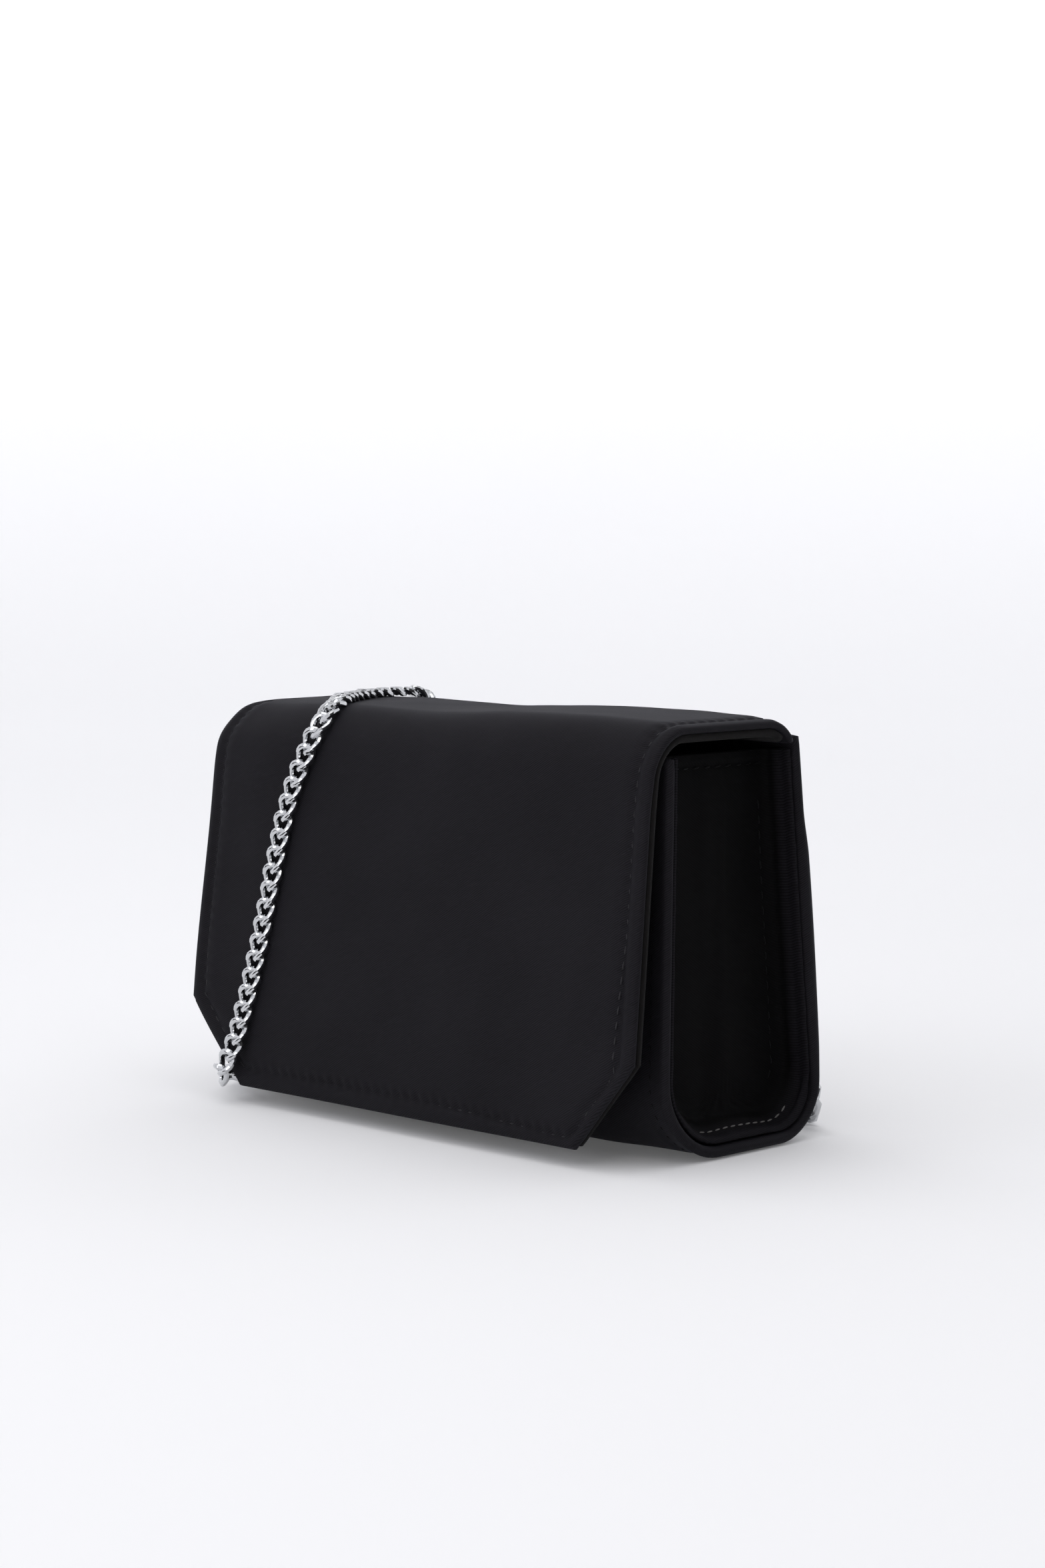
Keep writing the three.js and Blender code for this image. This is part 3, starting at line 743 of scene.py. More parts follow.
# Each row: piece, its two bodies, where the first one's hold ends and the second one's starts, its line,
# its stretch of that line, and the solids it stands for.
TOP_END, FRONT_START = (0, -0.018, 0.119), (0, -0.032, 0.104)
STRAP_PIECES = [
    (strap_back, ("bag", "ring_left"), (-0.068, 0.0353, 0.09), (-0.079, 0.0353, 0.09),
     left_line, (0, hinge_start), ["back_lead"]),
    (strap_hinge, ("bag", "flap_top"), (-0.0605, 0.0345, 0.108), (-0.0633, 0.027, 0.1225),
     left_line, (hinge_start, front_start), ["over_hinge"]),
    (strap_front, ("flap_top", "flap_front"), TOP_END, FRONT_START,
     left_line, (front_start, wrap_end), ["over_top", "over_bend", "down_front"]),
    (strap_rest, ("bag", "ring_right"), (0.08, 0.036, 0.080), (0.08, 0.036, 0.0965),
     rest_line, (0, rest_line.length), ["floor_run", "hank", "right_lead"]),
]
for piece, two_bodies, start, end, line, span, solids in STRAP_PIECES:
    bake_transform(piece)
    path = line.stretch(*span)
    (span[1] - span[0]) * MM
    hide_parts(*("chain_" + word for word in solids))
print("strap", round((left_line.distance_at(32) + rest_line.length) * MM, 3), "m")

# %% [markdown]
# ## Where the cloth runs
# The flap and the body are both cloth bent round a line in the Y-Z plane: the flap from its seam at the
# back, over the top and down to the hem, the body from the front's top edge, under the bottom and up the
# back. A `Run` walks such a line by distance and gives the place and the outward direction there, so a
# flat pattern can be cut first and bent afterwards, as a maker does it.


# %% Lines that cloth is bent round
def arc(center, radius, start, end, steps=24):
    turns = [math.radians(mix(start, end, i / steps)) for i in range(steps + 1)]
    return [Vector((center[0] + radius * math.cos(a), center[1] + radius * math.sin(a))) for a in turns]


class Run:
    def __init__(self, points):
        self.points = [points[0]]
        for p in points[1:]:
            if (p - self.points[-1]).length > 1e-4:
                self.points.append(p)
        self.at = [0.0]
        for a, b in zip(self.points, self.points[1:]):
            self.at.append(self.at[-1] + (b - a).length)
        self.length = self.at[-1]

    def place(self, s):
        """Point and outward direction at a distance along the line, both in the Y-Z plane."""
        s = min(max(s, 0.0), self.length)
        low, high = 0, len(self.at) - 1
        while high - low > 1:
            middle = (low + high) // 2
            if self.at[middle] <= s:
                low = middle
            else:
                high = middle
        a, b = self.points[low], self.points[high]
        t = (s - self.at[low]) / (self.at[high] - self.at[low])
        return a.lerp(b, t), self.turned(low, t)

    def turned(self, i, t):
        def outward(k):
            a = self.points[max(0, k - 1)]
            b = self.points[min(len(self.points) - 1, k + 1)]
            d = (b - a).normalized()
            return Vector((d.y, -d.x))

        return outward(i).lerp(outward(i + 1), t).normalized()


# The flap's line: seam, rear bend, top, front bend, hem.
FLAP_WIDTH = 180.0
FLAP_TOP = 120.4
HEM = Vector((-40.92, 5.4))
LEAN = 4.836
REAR_BEND = (17.37, FLAP_TOP - 12.0)
FRONT_BEND = (-17.41, FLAP_TOP - 15.0)
flap_run = Run(arc(REAR_BEND, 12.0, 29, 90) + arc(FRONT_BEND, 15.0, 90, 180 - LEAN) + [HEM])

# The body's line: front, front bend, bottom, back bend, back.
FRONT_HEAD = Vector((-23.83, 111.8))
BACK_HEAD = Vector((30.57, 115.6))
BACK_LEAN = 5.974
FRONT_TILT = 0.974
front_bend = (-25.73 + 24.41, 24.0)
back_bend = (42.67 - 17.76, 16.0)
body_run = Run(
    [FRONT_HEAD]
    + arc(front_bend, 24.0, 180 - FRONT_TILT, 270)
    + arc(back_bend, 16.0, 270, 360 + BACK_LEAN)
    + [BACK_HEAD]
)
print("flap cloth", round(flap_run.length, 1), "mm; body cloth", round(body_run.length, 1), "mm")


# %% [markdown]
# ## Cutting and bending a slab of cloth
# A padded or doubled cloth has two faces and a rounded edge. A grid is cut to the pattern, extruded for
# its thickness, and the narrow wall between the faces is subdivided and pushed out into a half round.
# Only then is it bent round its line. The flat pattern is kept as the UV map that the weave follows.


# %% The slab maker
def bent_slab(
    run, outline, span_x, span_s, cell, thickness, depth, relief=None, cuts=(), rounds=5, bend=None, spread=None
):
    """outline(x, s) is the distance inside the pattern's edge; depth is how far in from the line it lies.

    relief(x, s, inside) raises the outer face, bend(x, s) moves the whole slab out and spread(x, s) along X.
    """
    bm = bmesh.new()
    edge = thickness / 2
    x0, x1 = span_x[0] + edge, span_x[1] - edge
    s0, s1 = span_s[0] + edge, span_s[1] - edge
    bmesh.ops.create_grid(
        bm, x_segments=max(2, round((x1 - x0) / cell)), y_segments=max(2, round((s1 - s0) / cell)), size=1.0
    )
    shape = Matrix.Translation(((x0 + x1) / 2, (s0 + s1) / 2, 0)) @ Matrix.Diagonal(
        ((x1 - x0) / 2, (s1 - s0) / 2, 1, 1)
    )
    bmesh.ops.transform(bm, matrix=shape, verts=bm.verts)
    for point, outward in cuts:
        inset = Vector((*point, 0)) - Vector((*outward, 0)).normalized() * edge
        bmesh.ops.bisect_plane(
            bm, geom=bm.verts[:] + bm.edges[:] + bm.faces[:], plane_co=inset,
            plane_no=Vector((*outward, 0)), clear_outer=True,
        )
    bmesh.ops.remove_doubles(bm, verts=bm.verts, dist=cell * 0.22)
    made = bmesh.ops.extrude_face_region(bm, geom=bm.faces[:])
    lowered = [v for v in made["geom"] if isinstance(v, bmesh.types.BMVert)]
    bmesh.ops.translate(bm, verts=lowered, vec=(0, 0, -thickness))
    bmesh.ops.recalc_face_normals(bm, faces=bm.faces)
    walls = [e for e in bm.edges if abs(e.verts[0].co.z - e.verts[1].co.z) > thickness * 0.5]
    bmesh.ops.subdivide_edges(bm, edges=walls, cuts=rounds, use_grid_fill=True)
    uv = bm.loops.layers.uv.new("cloth")
    for face in bm.faces:
        for loop in face.loops:
            loop[uv].uv = (loop.vert.co.x * MM, (loop.vert.co.y - loop.vert.co.z) * MM)
    step = 0.05
    for v in bm.verts:
        x, s, h = v.co
        share = -h / thickness
        if 0.001 < share < 0.999:
            away = Vector((
                outline(x - step, s) - outline(x + step, s),
                outline(x, s - step) - outline(x, s + step),
            ))
            away.normalize()
            h = -edge + edge * math.cos(math.pi * share)
            out = edge * math.sin(math.pi * share)
            x += away.x * out
            s += away.y * out
        lift = relief(x, s, outline(x, s)) * (1 - share) if relief else 0.0
        if bend:
            lift += bend(x, s)
        place, outward = run.place(s)
        past = min(0.0, s) + max(0.0, s - run.length)
        along = Vector((-outward.y, outward.x))
        yz = place + outward * (h - depth + lift) + along * past
        v.co = Vector((x + (spread(x, s) if spread else 0.0), yz.x, yz.y)) * MM
    return bm


def side_of(width, length, start=0.0):
    """The distance inside a plain oblong pattern."""
    return lambda x, s: min(width / 2 - abs(x), s - start, length - s)


# %% [markdown]
# ## The flap
# The flap is satin over thin wadding and board. Its lower corners are cut off, and one row of stitches
# runs a few millimetres inside the edge. Between the edge and the stitches the cloth rolls up into a soft
# band, the stitches pull it into a groove with a pucker at every needle hole, and the wadding rises
# behind it.

# %% The flap's pattern
flap_length = flap_run.length
CORNER_WIDTH, CORNER_HEIGHT = 20.2, 24.7
corner_normal = Vector((CORNER_HEIGHT, CORNER_WIDTH)).normalized()
corner_point = Vector((FLAP_WIDTH / 2 - CORNER_WIDTH, flap_length))
STITCH_PITCH = 4.06


def corner_cuts(step=0.0):
    """The planes that take off both lower corners, a step inside the pattern's own cut."""
    point = corner_point - corner_normal * step
    return [(point, corner_normal), ((-point.x, point.y), (-corner_normal.x, corner_normal.y))]


def flap_sides(x, s):
    """Distances inside the pattern's side, cut corner and hem."""
    corner = (corner_point - Vector((abs(x), s))).dot(corner_normal)
    return FLAP_WIDTH / 2 - abs(x), corner, flap_length - s


def flap_outline(x, s):
    return min(*flap_sides(x, s), s)


def soft_least(values, softness):
    low = min(values)
    return low - softness * math.log(sum(math.exp(-(v - low) / softness) for v in values))


def hem_inset(x):
    """The stitches' distance from the hem: the row isn't quite level."""
    return mix(5.4, 3.0, smoothstep(10, 72, x))


SIDE_INSET = 4.7


def seam_gap(x, s):
    """How far inside (+) or outside (-) the stitch row a point of the flap lies."""
    side, corner, hem = flap_sides(x, s)
    inset = (side - SIDE_INSET, corner - mix(SIDE_INSET, 3.4, x > 0), hem - hem_inset(x))
    return soft_least(inset, 0.7)


def seam_distance(x, s):
    """Distance along the stitch row, for the puckers."""
    side, corner, hem = flap_sides(x, s)
    if side - SIDE_INSET <= min(corner, hem) - SIDE_INSET:
        return s
    if corner < hem:
        return s - (FLAP_WIDTH / 2 - abs(x)) * 0.8
    return x


def drape(x, s):
    """The top sags a little to the left of the middle, and bends more gently at the left end."""
    top = smoothstep(2, 14, s) * (1 - smoothstep(50, 72, s))
    hollow = -1.0 * math.exp(-(((x + 12) / 22) ** 2)) + 1.15 * math.exp(-(((x - 47) / 36) ** 2))
    bend_middle = 58.5
    soft_corner = -2.2 * smoothstep(-30, -88, x) * math.exp(-(((s - bend_middle) / 11) ** 2))
    low_end = -0.4 * smoothstep(-30, -80, x) * top
    flare = 1.6 * smoothstep(-68, -90, x) * smoothstep(75, 140, s)
    waves = 0.35 * math.sin(x * 0.061 + 1.0) * smoothstep(90, 165, s)
    return hollow * top * 0.85 + soft_corner + low_end + flare + waves * 0.6


def flap_spread(x, s):
    """The flap's lower left edge stands out to the side a little, and its right edge is drawn in."""
    left = -1.5 * smoothstep(-66, -90, x) * smoothstep(75, 150, s) - 0.4 * smoothstep(-60, -90, x)
    return left - 1.4 * smoothstep(50, 90, x) * smoothstep(56, 82, s)


def flap_relief(x, s, d):
    gap = seam_gap(x, s)
    band = 0.35 * smoothstep(-4.6, -2.4, gap) if gap < 0 else 0.35
    groove = -0.75 * math.exp(-((gap / 0.8) ** 2))
    crown = mix(0.2, 0.75, smoothstep(60, 80, s))
    wadding = 0.5 * smoothstep(0.3, 4.5, gap) + crown * smoothstep(2.0, 20.0, gap)
    pucker = math.cos(2 * math.pi * seam_distance(x, s) / STITCH_PITCH)
    dimples = -0.24 * pucker * math.exp(-(((gap - 0.9) / 1.5) ** 2))
    uneven = 0.16 * noise.noise(Vector((x * 0.07, s * 0.07, 3.0)))
    return (band + groove + wadding + dimples) * smoothstep(0.6, 2.2, d) + uneven * smoothstep(1, 6, d)


# %% The flap's satin
flap_bm = bent_slab(
    flap_run, flap_outline, (-FLAP_WIDTH / 2, FLAP_WIDTH / 2), (0, flap_length),
    cell=1.0, thickness=2.1, depth=0.7, relief=flap_relief,
    cuts=corner_cuts(), bend=drape, spread=flap_spread,
)
flap_satin = collect("flap_satin", flap_bm, SATIN)
print("flap satin:", len(flap_satin.data.polygons), "faces")


# %% [markdown]
# ## The flap's lining
# A thicker, duller cloth with a short nap lines the flap. It is cut a little smaller, so a narrow groove
# shows between it and the satin's edge.

# %% The flap's suede
LINING_STEP = 0.75


def lining_outline(x, s):
    return flap_outline(x, s) - LINING_STEP


def lining_relief(x, s, d):
    return 0.12 * noise.noise(Vector((x * 0.12, s * 0.12, 9.0)))


def lining_spread(x, s):
    return flap_spread(x, s) + 0.7 * smoothstep(50, 90, x) * smoothstep(56, 82, s)


lining_bm = bent_slab(
    flap_run, lining_outline, (-FLAP_WIDTH / 2 + LINING_STEP, FLAP_WIDTH / 2 - LINING_STEP),
    (3.5, flap_length - LINING_STEP), cell=2.6, thickness=2.4, depth=2.75, relief=lining_relief,
    cuts=corner_cuts(LINING_STEP), bend=drape, rounds=4, spread=lining_spread,
)
flap_suede = collect("flap_suede", lining_bm, SUEDE)
print("flap lining:", len(flap_suede.data.polygons), "faces")


# %% [markdown]
# ## Inside the flap
# A sheet of wadding and a thin board lie inside the satin, clear of its stitched edge. They are the same
# kind of slab, so they sag and bend with the flap.

# %% Wadding and board
PADDING_INSET = 4.8


def inner_sheet(name, finish, depth, thickness, start):
    bm = bent_slab(
        flap_run, lambda x, s: flap_outline(x, s) - PADDING_INSET,
        (-FLAP_WIDTH / 2 + PADDING_INSET, FLAP_WIDTH / 2 - PADDING_INSET), (start, flap_length - PADDING_INSET),
        cell=3.5, thickness=thickness, depth=depth, rounds=2, bend=drape, cuts=corner_cuts(PADDING_INSET),
    )
    return collect(name, bm, finish)


flap_wadding = inner_sheet("flap_wadding", WADDING, 1.3, 0.6, 12.0)
flap_board = inner_sheet("flap_board", BOARD, 2.0, 0.5, 12.0)


# %% [markdown]
# ## The body
# The body's satin is one piece that runs down the front, under the bottom and up the back. Its ends are
# turned in, which leaves a rounded rim beside each gusset.

# %% The body's satin
BODY_WIDTH = 178.0
BACK_SPAN = 103.0
SEAM_FROM_RIM = 6.0


def body_relief(x, s, d):
    """The rim rolls up outside its stitches, and the back bows out a little between its ends."""
    rim = 0.55 * math.exp(-(((d - 1.5) / 1.0) ** 2))
    groove = -0.4 * math.exp(-(((d - SEAM_FROM_RIM) / 0.7) ** 2))
    beat = math.cos(2 * math.pi * s / STITCH_PITCH)
    pucker = -0.12 * beat * math.exp(-(((d - SEAM_FROM_RIM + 0.6) / 1.2) ** 2))
    up_the_back = (s - (body_run.length - BACK_SPAN)) / BACK_SPAN
    bow = 0.0
    if up_the_back > 0:
        bow = 0.6 * smoothstep(0, 0.15, up_the_back) + 1.3 * math.sin(math.pi * min(1, up_the_back))
        beside_ring = smoothstep(66, 72, abs(x)) * smoothstep(0.66, 0.8, up_the_back)
        bow *= 1 - 0.75 * beside_ring
    uneven = 0.28 * noise.noise(Vector((x * 0.045, s * 0.045, 5.0)))
    return rim + groove + pucker + bow + uneven * smoothstep(1, 10, d)


def body_lift(x, s):
    """The bottom curls up a little towards its two ends."""
    underneath = smoothstep(0.1, 0.9, -body_run.place(s)[1].y)
    return -0.8 * smoothstep(50, 89, abs(x)) * underneath


body_bm = bent_slab(
    body_run, side_of(BODY_WIDTH, body_run.length), (-BODY_WIDTH / 2, BODY_WIDTH / 2), (0, body_run.length),
    cell=1.7, thickness=2.5, depth=0.3, relief=body_relief, bend=body_lift,
)
body_satin = collect("body_satin", body_bm, SATIN)

# %% The body's lining
lining_width = BODY_WIDTH - 5.0
body_lining_bm = bent_slab(
    body_run, side_of(lining_width, body_run.length - 6.6), (-lining_width / 2, lining_width / 2),
    (0.4, body_run.length - 6.6), cell=3.0, thickness=0.8, depth=2.9,
    relief=lambda x, s, d: 0.15 * noise.noise(Vector((x * 0.06, s * 0.06, 7.0))), rounds=3,
)
body_inside = collect("body_inside", body_lining_bm, LINING)
print("body:", len(body_satin.data.polygons), "faces, lining", len(body_inside.data.polygons))


# %% [markdown]
# ## The cloth hinge
# On the real bag the back's cloth runs on into the flap. The flap and the back are separate pieces here, so
# a strip of the lining's cloth joins them inside the seam.

# %% The hinge strip
STRIP_WIDTH = 170.0
seam_place, seam_out = flap_run.place(1.0)
flap_place, flap_out = flap_run.place(6.0)
inside_back = [Vector((30.2, 112.6)), Vector((30.3, 115.4))]
strip_line = Run(inside_back + [seam_place - seam_out * 2.0, flap_place - flap_out * 2.6])
strip_bm = bent_slab(
    strip_line, side_of(STRIP_WIDTH, strip_line.length), (-STRIP_WIDTH / 2, STRIP_WIDTH / 2),
    (0, strip_line.length), cell=0.8, thickness=0.8, depth=0.0, rounds=1,
)
hinge_strip = collect("hinge_strip", strip_bm, SUEDE)
print("hinge strip", round(strip_line.length, 1), "mm deep,", len(hinge_strip.data.polygons), "faces")


# %% [markdown]
# ## Stitches
# A row of stitches is seen as short dashes of thread that sink into the cloth at both ends. One stitch is
# a small sphere drawn out along the row. It is repeated at the pitch of the row, each turned to lie along
# the seam and flat on the cloth.

# %% The stitch and the row
STITCH_LONG, STITCH_WIDE, STITCH_HIGH = 1.30, 0.26, 0.20  # half sizes


def stitch_row(name, places, finish=THREAD, scale=1.0):
    """places: (point, along, outward) for each stitch, in millimetres."""
    bm = bmesh.new()
    for i, (point, along, outward) in enumerate(places):
        along = along.normalized()
        side = outward.cross(along).normalized()
        wander = noise.noise(Vector((i * 1.37, 4.0, len(places) * 0.1)))
        turn = Matrix((along, side, along.cross(side))).transposed().to_4x4()
        long = STITCH_LONG * (1 + 0.18 * wander)
        shape = Matrix.Diagonal((long * scale, STITCH_WIDE, STITCH_HIGH, 1))
        tilt = Matrix.Rotation(math.radians(5) + 0.06 * wander, 4, "Z")
        spot = Matrix.Scale(MM, 4) @ Matrix.Translation(point) @ turn @ tilt @ shape
        bmesh.ops.create_uvsphere(bm, u_segments=8, v_segments=6, radius=1.0, matrix=spot)
    obj = collect(name, bm, finish)
    print(name, len(places), "stitches")
    return obj


# %% The flap's stitches
def on_flap(x, s, lift=0.0):
    """Place on the flap's satin, and the outward direction there."""
    place, outward = flap_run.place(s)
    h = flap_relief(x, s, flap_outline(x, s)) + drape(x, s) - 0.7 + lift
    yz = place + outward * h
    return Vector((x + flap_spread(x, s), yz.x, yz.y)), Vector((0, outward.x, outward.y))


def seam_path():
    """The stitch row in the pattern: up from the seam's left end, round the hem and back."""
    side_x = FLAP_WIDTH / 2 - SIDE_INSET
    points = [Vector((-side_x, 18.0))]

    def meet(x, from_s, to_s):
        """Where the row at this x changes from one side of the pattern to the next."""
        low, high = from_s, to_s
        for _ in range(40):
            middle = (low + high) / 2
            if seam_gap(x, middle) > 0:
                low = middle
            else:
                high = middle
        return low

    for k in range(91):
        x = mix(-side_x, side_x, k / 90)
        points.append(Vector((x, meet(x, 60.0, flap_length))))
    points.append(Vector((side_x, 18.0)))
    return points


def spaced(points, pitch, start):
    """Points a pitch apart along a path, with their directions."""
    made, left = [], start
    for a, b in zip(points, points[1:]):
        length = (b - a).length
        while left < length:
            made.append((a + (b - a) * (left / length), (b - a) / length))
            left += pitch
        left -= length
    return made


places = []
for spot, heading in spaced(seam_path(), STITCH_PITCH, 2.0):
    point, outward = on_flap(spot.x, spot.y, 0.02)
    ahead, _ = on_flap(spot.x + heading.x, spot.y + heading.y, 0.02)
    places.append((point, ahead - point, outward))
flap_stitches = stitch_row("flap_stitches", places)

# %% [markdown]
# ## The gussets
# Each end of the bag is closed by a gusset: a soft panel set in from the rim, with its edge turned
# outwards as a flange against the body. It is a grid whose rows follow the U of the body's inside. Its
# columns run in along the flange, round into the panel, and on to a line up the middle of the panel. Near
# the bottom the cloth is caught by a row of stitches, and rolls out below it in a soft band.

# %% The gusset's U
GUSSET_DEPTH, GUSSET_TOP = 3.95, 111.4
RIM_X, PANEL_X = 88.0, 80.1
SPINE_FOOT = 26.0


def moved_in(run, depth, steps):
    """Points of a run at a depth inside its cloth."""
    made = []
    for k in range(steps + 1):
        place, outward = run.place(run.length * k / steps)
        made.append(place - outward * depth)
    return made


def gusset_line():
    """The U from the front's top to the back's, at heights that match on both sides."""
    inner = moved_in(body_run, GUSSET_DEPTH, 900)
    low = min(range(len(inner)), key=lambda i: inner[i].y)
    front, back = inner[: low + 1], inner[low:][::-1]

    def at_height(side, z):
        a, b = min(zip(side, side[1:]), key=lambda pair: abs((pair[0].y + pair[1].y) / 2 - z))
        t = 0 if abs(b.y - a.y) < 1e-6 else (z - a.y) / (b.y - a.y)
        return a.lerp(b, min(1, max(0, t)))

    heights = [mix(GUSSET_TOP, SPINE_FOOT, (i / 70) ** 1.25) for i in range(71)]
    front_side = [at_height(front, z) for z in heights]
    back_side = [at_height(back, z) for z in heights]
    bottom = Run([front_side[-1]] + [p for p in inner if p.y < SPINE_FOOT] + [back_side[-1]])
    under = [bottom.place(bottom.length * k / 54)[0] for k in range(1, 54)]
    return front_side + under + back_side[::-1]


u_line = gusset_line()


def spine(place):
    """The line up the middle of the panel that a point of the U belongs to."""
    return Vector((8.5, max(place.y, SPINE_FOOT)))


# %% [markdown]
# ## The gusset as a grid
# One function says where each point of the grid lies, from its row along the U and its column from the rim
# inwards. The flange, its soft welt, the panel's fullness, the hem and the gathers are all terms of it, so
# they flow into each other as they do in one piece of cloth.

# %% The gusset's cloth
FLANGE_STEPS, PANEL_STEPS = 9, 26
HEM_LINE = GUSSET_TOP - 3.3


def gusset_point(row, column):
    """Place on the gusset's outer face: row along the U, column from the rim to the panel's middle."""
    place = u_line[row]
    to_spine = spine(place) - place
    inwards = to_spine.normalized()
    bottom = smoothstep(21, 9, place.y)
    along = row * 0.3
    rounding = 1.8 + 4.0 * bottom
    if column <= FLANGE_STEPS:
        t = column / FLANGE_STEPS
        # The flange's edge is a soft welt. Further in it leans, most of all at the bottom.
        welt = (0.4 + 2.1 * bottom) * math.exp(-(((t - 0.22) / 0.17) ** 2))
        inward = 0.3 + (rounding - 0.3) * smoothstep(0.3, 1, t) + welt
        x = mix(RIM_X, PANEL_X + 1.2, t) + 0.2 * noise.noise(Vector((along, t * 2, 1.0)))
        return x, place + inwards * inward
    t = (column - FLANGE_STEPS) / PANEL_STEPS
    t = t * mix(0.45, 1.0, t)  # columns lie closer near the flange
    inside = t * (to_spine.length - rounding)
    yz = place + inwards * (rounding + inside)
    folds = 0.8 * noise.noise(Vector((yz.x * 0.09, yz.y * 0.02, 2.0)))
    gather = 0.22 * math.sin(yz.x * 4.2 + 0.8 * math.sin(yz.x * 0.9)) * math.exp(-(((yz.y - 13) / 5) ** 2))
    belly = 0.8 * math.sin(math.pi * min(1, t)) * smoothstep(111, 80, yz.y)
    hem = 0.35 * smoothstep(HEM_LINE - 0.2, HEM_LINE + 0.6, yz.y)
    pinch = -0.35 * math.exp(-(((yz.y - HEM_LINE) / 0.6) ** 2))
    x = PANEL_X - 0.2 + 1.4 * math.exp(-inside / 0.9)
    return x + (folds + gather - belly) * min(1, t * 6) + hem + pinch, yz


def gusset_cloth(name, side):
    rows, columns = len(u_line) - 1, FLANGE_STEPS + PANEL_STEPS
    bm = bmesh.new()
    bmesh.ops.create_grid(bm, x_segments=columns, y_segments=rows, size=0.5)
    uv = bm.loops.layers.uv.new("cloth")
    for face in bm.faces:
        for loop in face.loops:
            column = round((loop.vert.co.x + 0.5) * columns)
            row = round((loop.vert.co.y + 0.5) * rows)
            x, yz = gusset_point(row, column)
            loop[uv].uv = ((yz.x + (RIM_X - x) * 0.5) * MM, yz.y * MM)
    for v in bm.verts:
        column = round((v.co.x + 0.5) * columns)
        row = round((v.co.y + 0.5) * rows)
        x, yz = gusset_point(row, column)
        v.co = Vector((x * side, yz.x, yz.y)) * MM
    bmesh.ops.remove_doubles(bm, verts=bm.verts, dist=0.05 * MM)
    bmesh.ops.recalc_face_normals(bm, faces=bm.faces)
    outward = sum((f.normal.x * f.calc_area() for f in bm.faces)) * side
    if outward < 0:
        bmesh.ops.reverse_faces(bm, faces=bm.faces)
    bmesh.ops.solidify(bm, geom=bm.faces[:], thickness=0.9 * MM)
    bmesh.ops.recalc_face_normals(bm, faces=bm.faces)
    # The gusset's satin carries painted shade on its recessed panel.
    obj = collect(name, bm, GUSSET_SATIN_PAINTED_SHADE)
    print(name, len(obj.data.polygons), "faces")
    return obj


gusset_left = gusset_cloth("gusset_cloth_left", -1)
gusset_right = gusset_cloth("gusset_cloth_right", 1)

# %% [markdown]
# ## The gussets' stitches
# Three rows show on each gusset. Two are in the black thread with painted shade: one holds the hem at the top
# and one runs down beside the back. A row of paler, longer stitches holds the fold at the bottom.

# %% Rows of gusset stitches
def on_gusset(row, column, side):
    low = min(int(row), len(u_line) - 2)
    x0, yz0 = gusset_point(low, column)
    x1, yz1 = gusset_point(low + 1, column)
    t = row - low
    yz = yz0.lerp(yz1, t)
    return Vector((mix(x0, x1, t) * side, yz.x, yz.y))


def row_of_places(points, pitch, facing, start=1.0):
    return [(spot + facing * 0.05, heading, facing) for spot, heading in spaced(points, pitch, start)]


def hem_points(side):
    """Straight across the panel, just under its top edge."""
    row = next(k for k, p in enumerate(u_line) if p.y < HEM_LINE)
    last = len(u_line) - 1 - row
    front = [on_gusset(row, c, side) for c in range(FLANGE_STEPS + 3, FLANGE_STEPS + PANEL_STEPS + 1)]
    back = [on_gusset(last, c, side) for c in range(FLANGE_STEPS + 3, FLANGE_STEPS + PANEL_STEPS + 1)]
    return front + back[::-1]


gusset_stitches = []
for side, word in ((-1, "left"), (1, "right")):
    facing = Vector((side, 0, 0))
    lifted = (facing * 0.55 + Vector((0, 0, 1))).normalized()
    rows = len(u_line)
    under_start = next(k for k, p in enumerate(u_line) if p.y < 9.0)
    under_end = rows - 1 - next(k for k, p in enumerate(reversed(u_line)) if p.y < 9.0)
    down_start = rows - 1 - next(k for k, p in enumerate(reversed(u_line)) if p.y < 100)
    down_end = rows - 1 - next(k for k, p in enumerate(reversed(u_line)) if p.y < 16)
    beside_back = [on_gusset(k, FLANGE_STEPS + 8, side) for k in range(down_end, down_start)]
    under = [on_gusset(k, FLANGE_STEPS - 3, side) for k in range(under_start + 5, under_end)]
    gusset_stitches += [
        stitch_row("hem_stitches_" + word, row_of_places(hem_points(side), 4.3, facing), SHADED_THREAD),
        stitch_row("side_stitches_" + word, row_of_places(beside_back, 4.3, facing), SHADED_THREAD),
        stitch_row("fold_stitches_" + word, row_of_places(under, 3.2, lifted), PALE_THREAD, 0.9),
    ]

# %% [markdown]
# ## The body's own stitches
# The body's front shows a row of stitches beside its rim, and so does its back.

# %% Body stitches
def on_body(x, s):
    place, outward = body_run.place(s)
    lift = body_relief(x, s, BODY_WIDTH / 2 - abs(x)) + body_lift(x, s) - 0.3
    yz = place + outward * lift
    return Vector((x, yz.x, yz.y)), Vector((0, outward.x, outward.y))


BODY_SEAM_X = BODY_WIDTH / 2 - SEAM_FROM_RIM
body_places = []
for x in (-BODY_SEAM_X, BODY_SEAM_X):
    count = int((body_run.length - 4) / STITCH_PITCH)
    for k in range(count):
        s0 = 2 + k * STITCH_PITCH
        point, outward = on_body(x, s0)
        ahead, _ = on_body(x, s0 + 1)
        body_places.append((point, ahead - point, outward))
# The body's stitches are in the black thread with painted shade.
body_stitches = stitch_row("body_stitches", body_places, SHADED_THREAD)

# %% [markdown]
# ## Tabs and rings
# A satin tab is sewn to the back at each top corner, and holds a D-ring. The tab is a slab bent round the
# ring's bar. The ring is a round wire: one circle spun through half a turn, its ends drawn up to the bar.

# %% Tabs
ANCHOR_X = 80.0
BAR_AT = Vector((33.969, 105.239))
TAB_WIDTH, TAB_LENGTH, TAB_THICK = 7.4, 8.8, 1.0


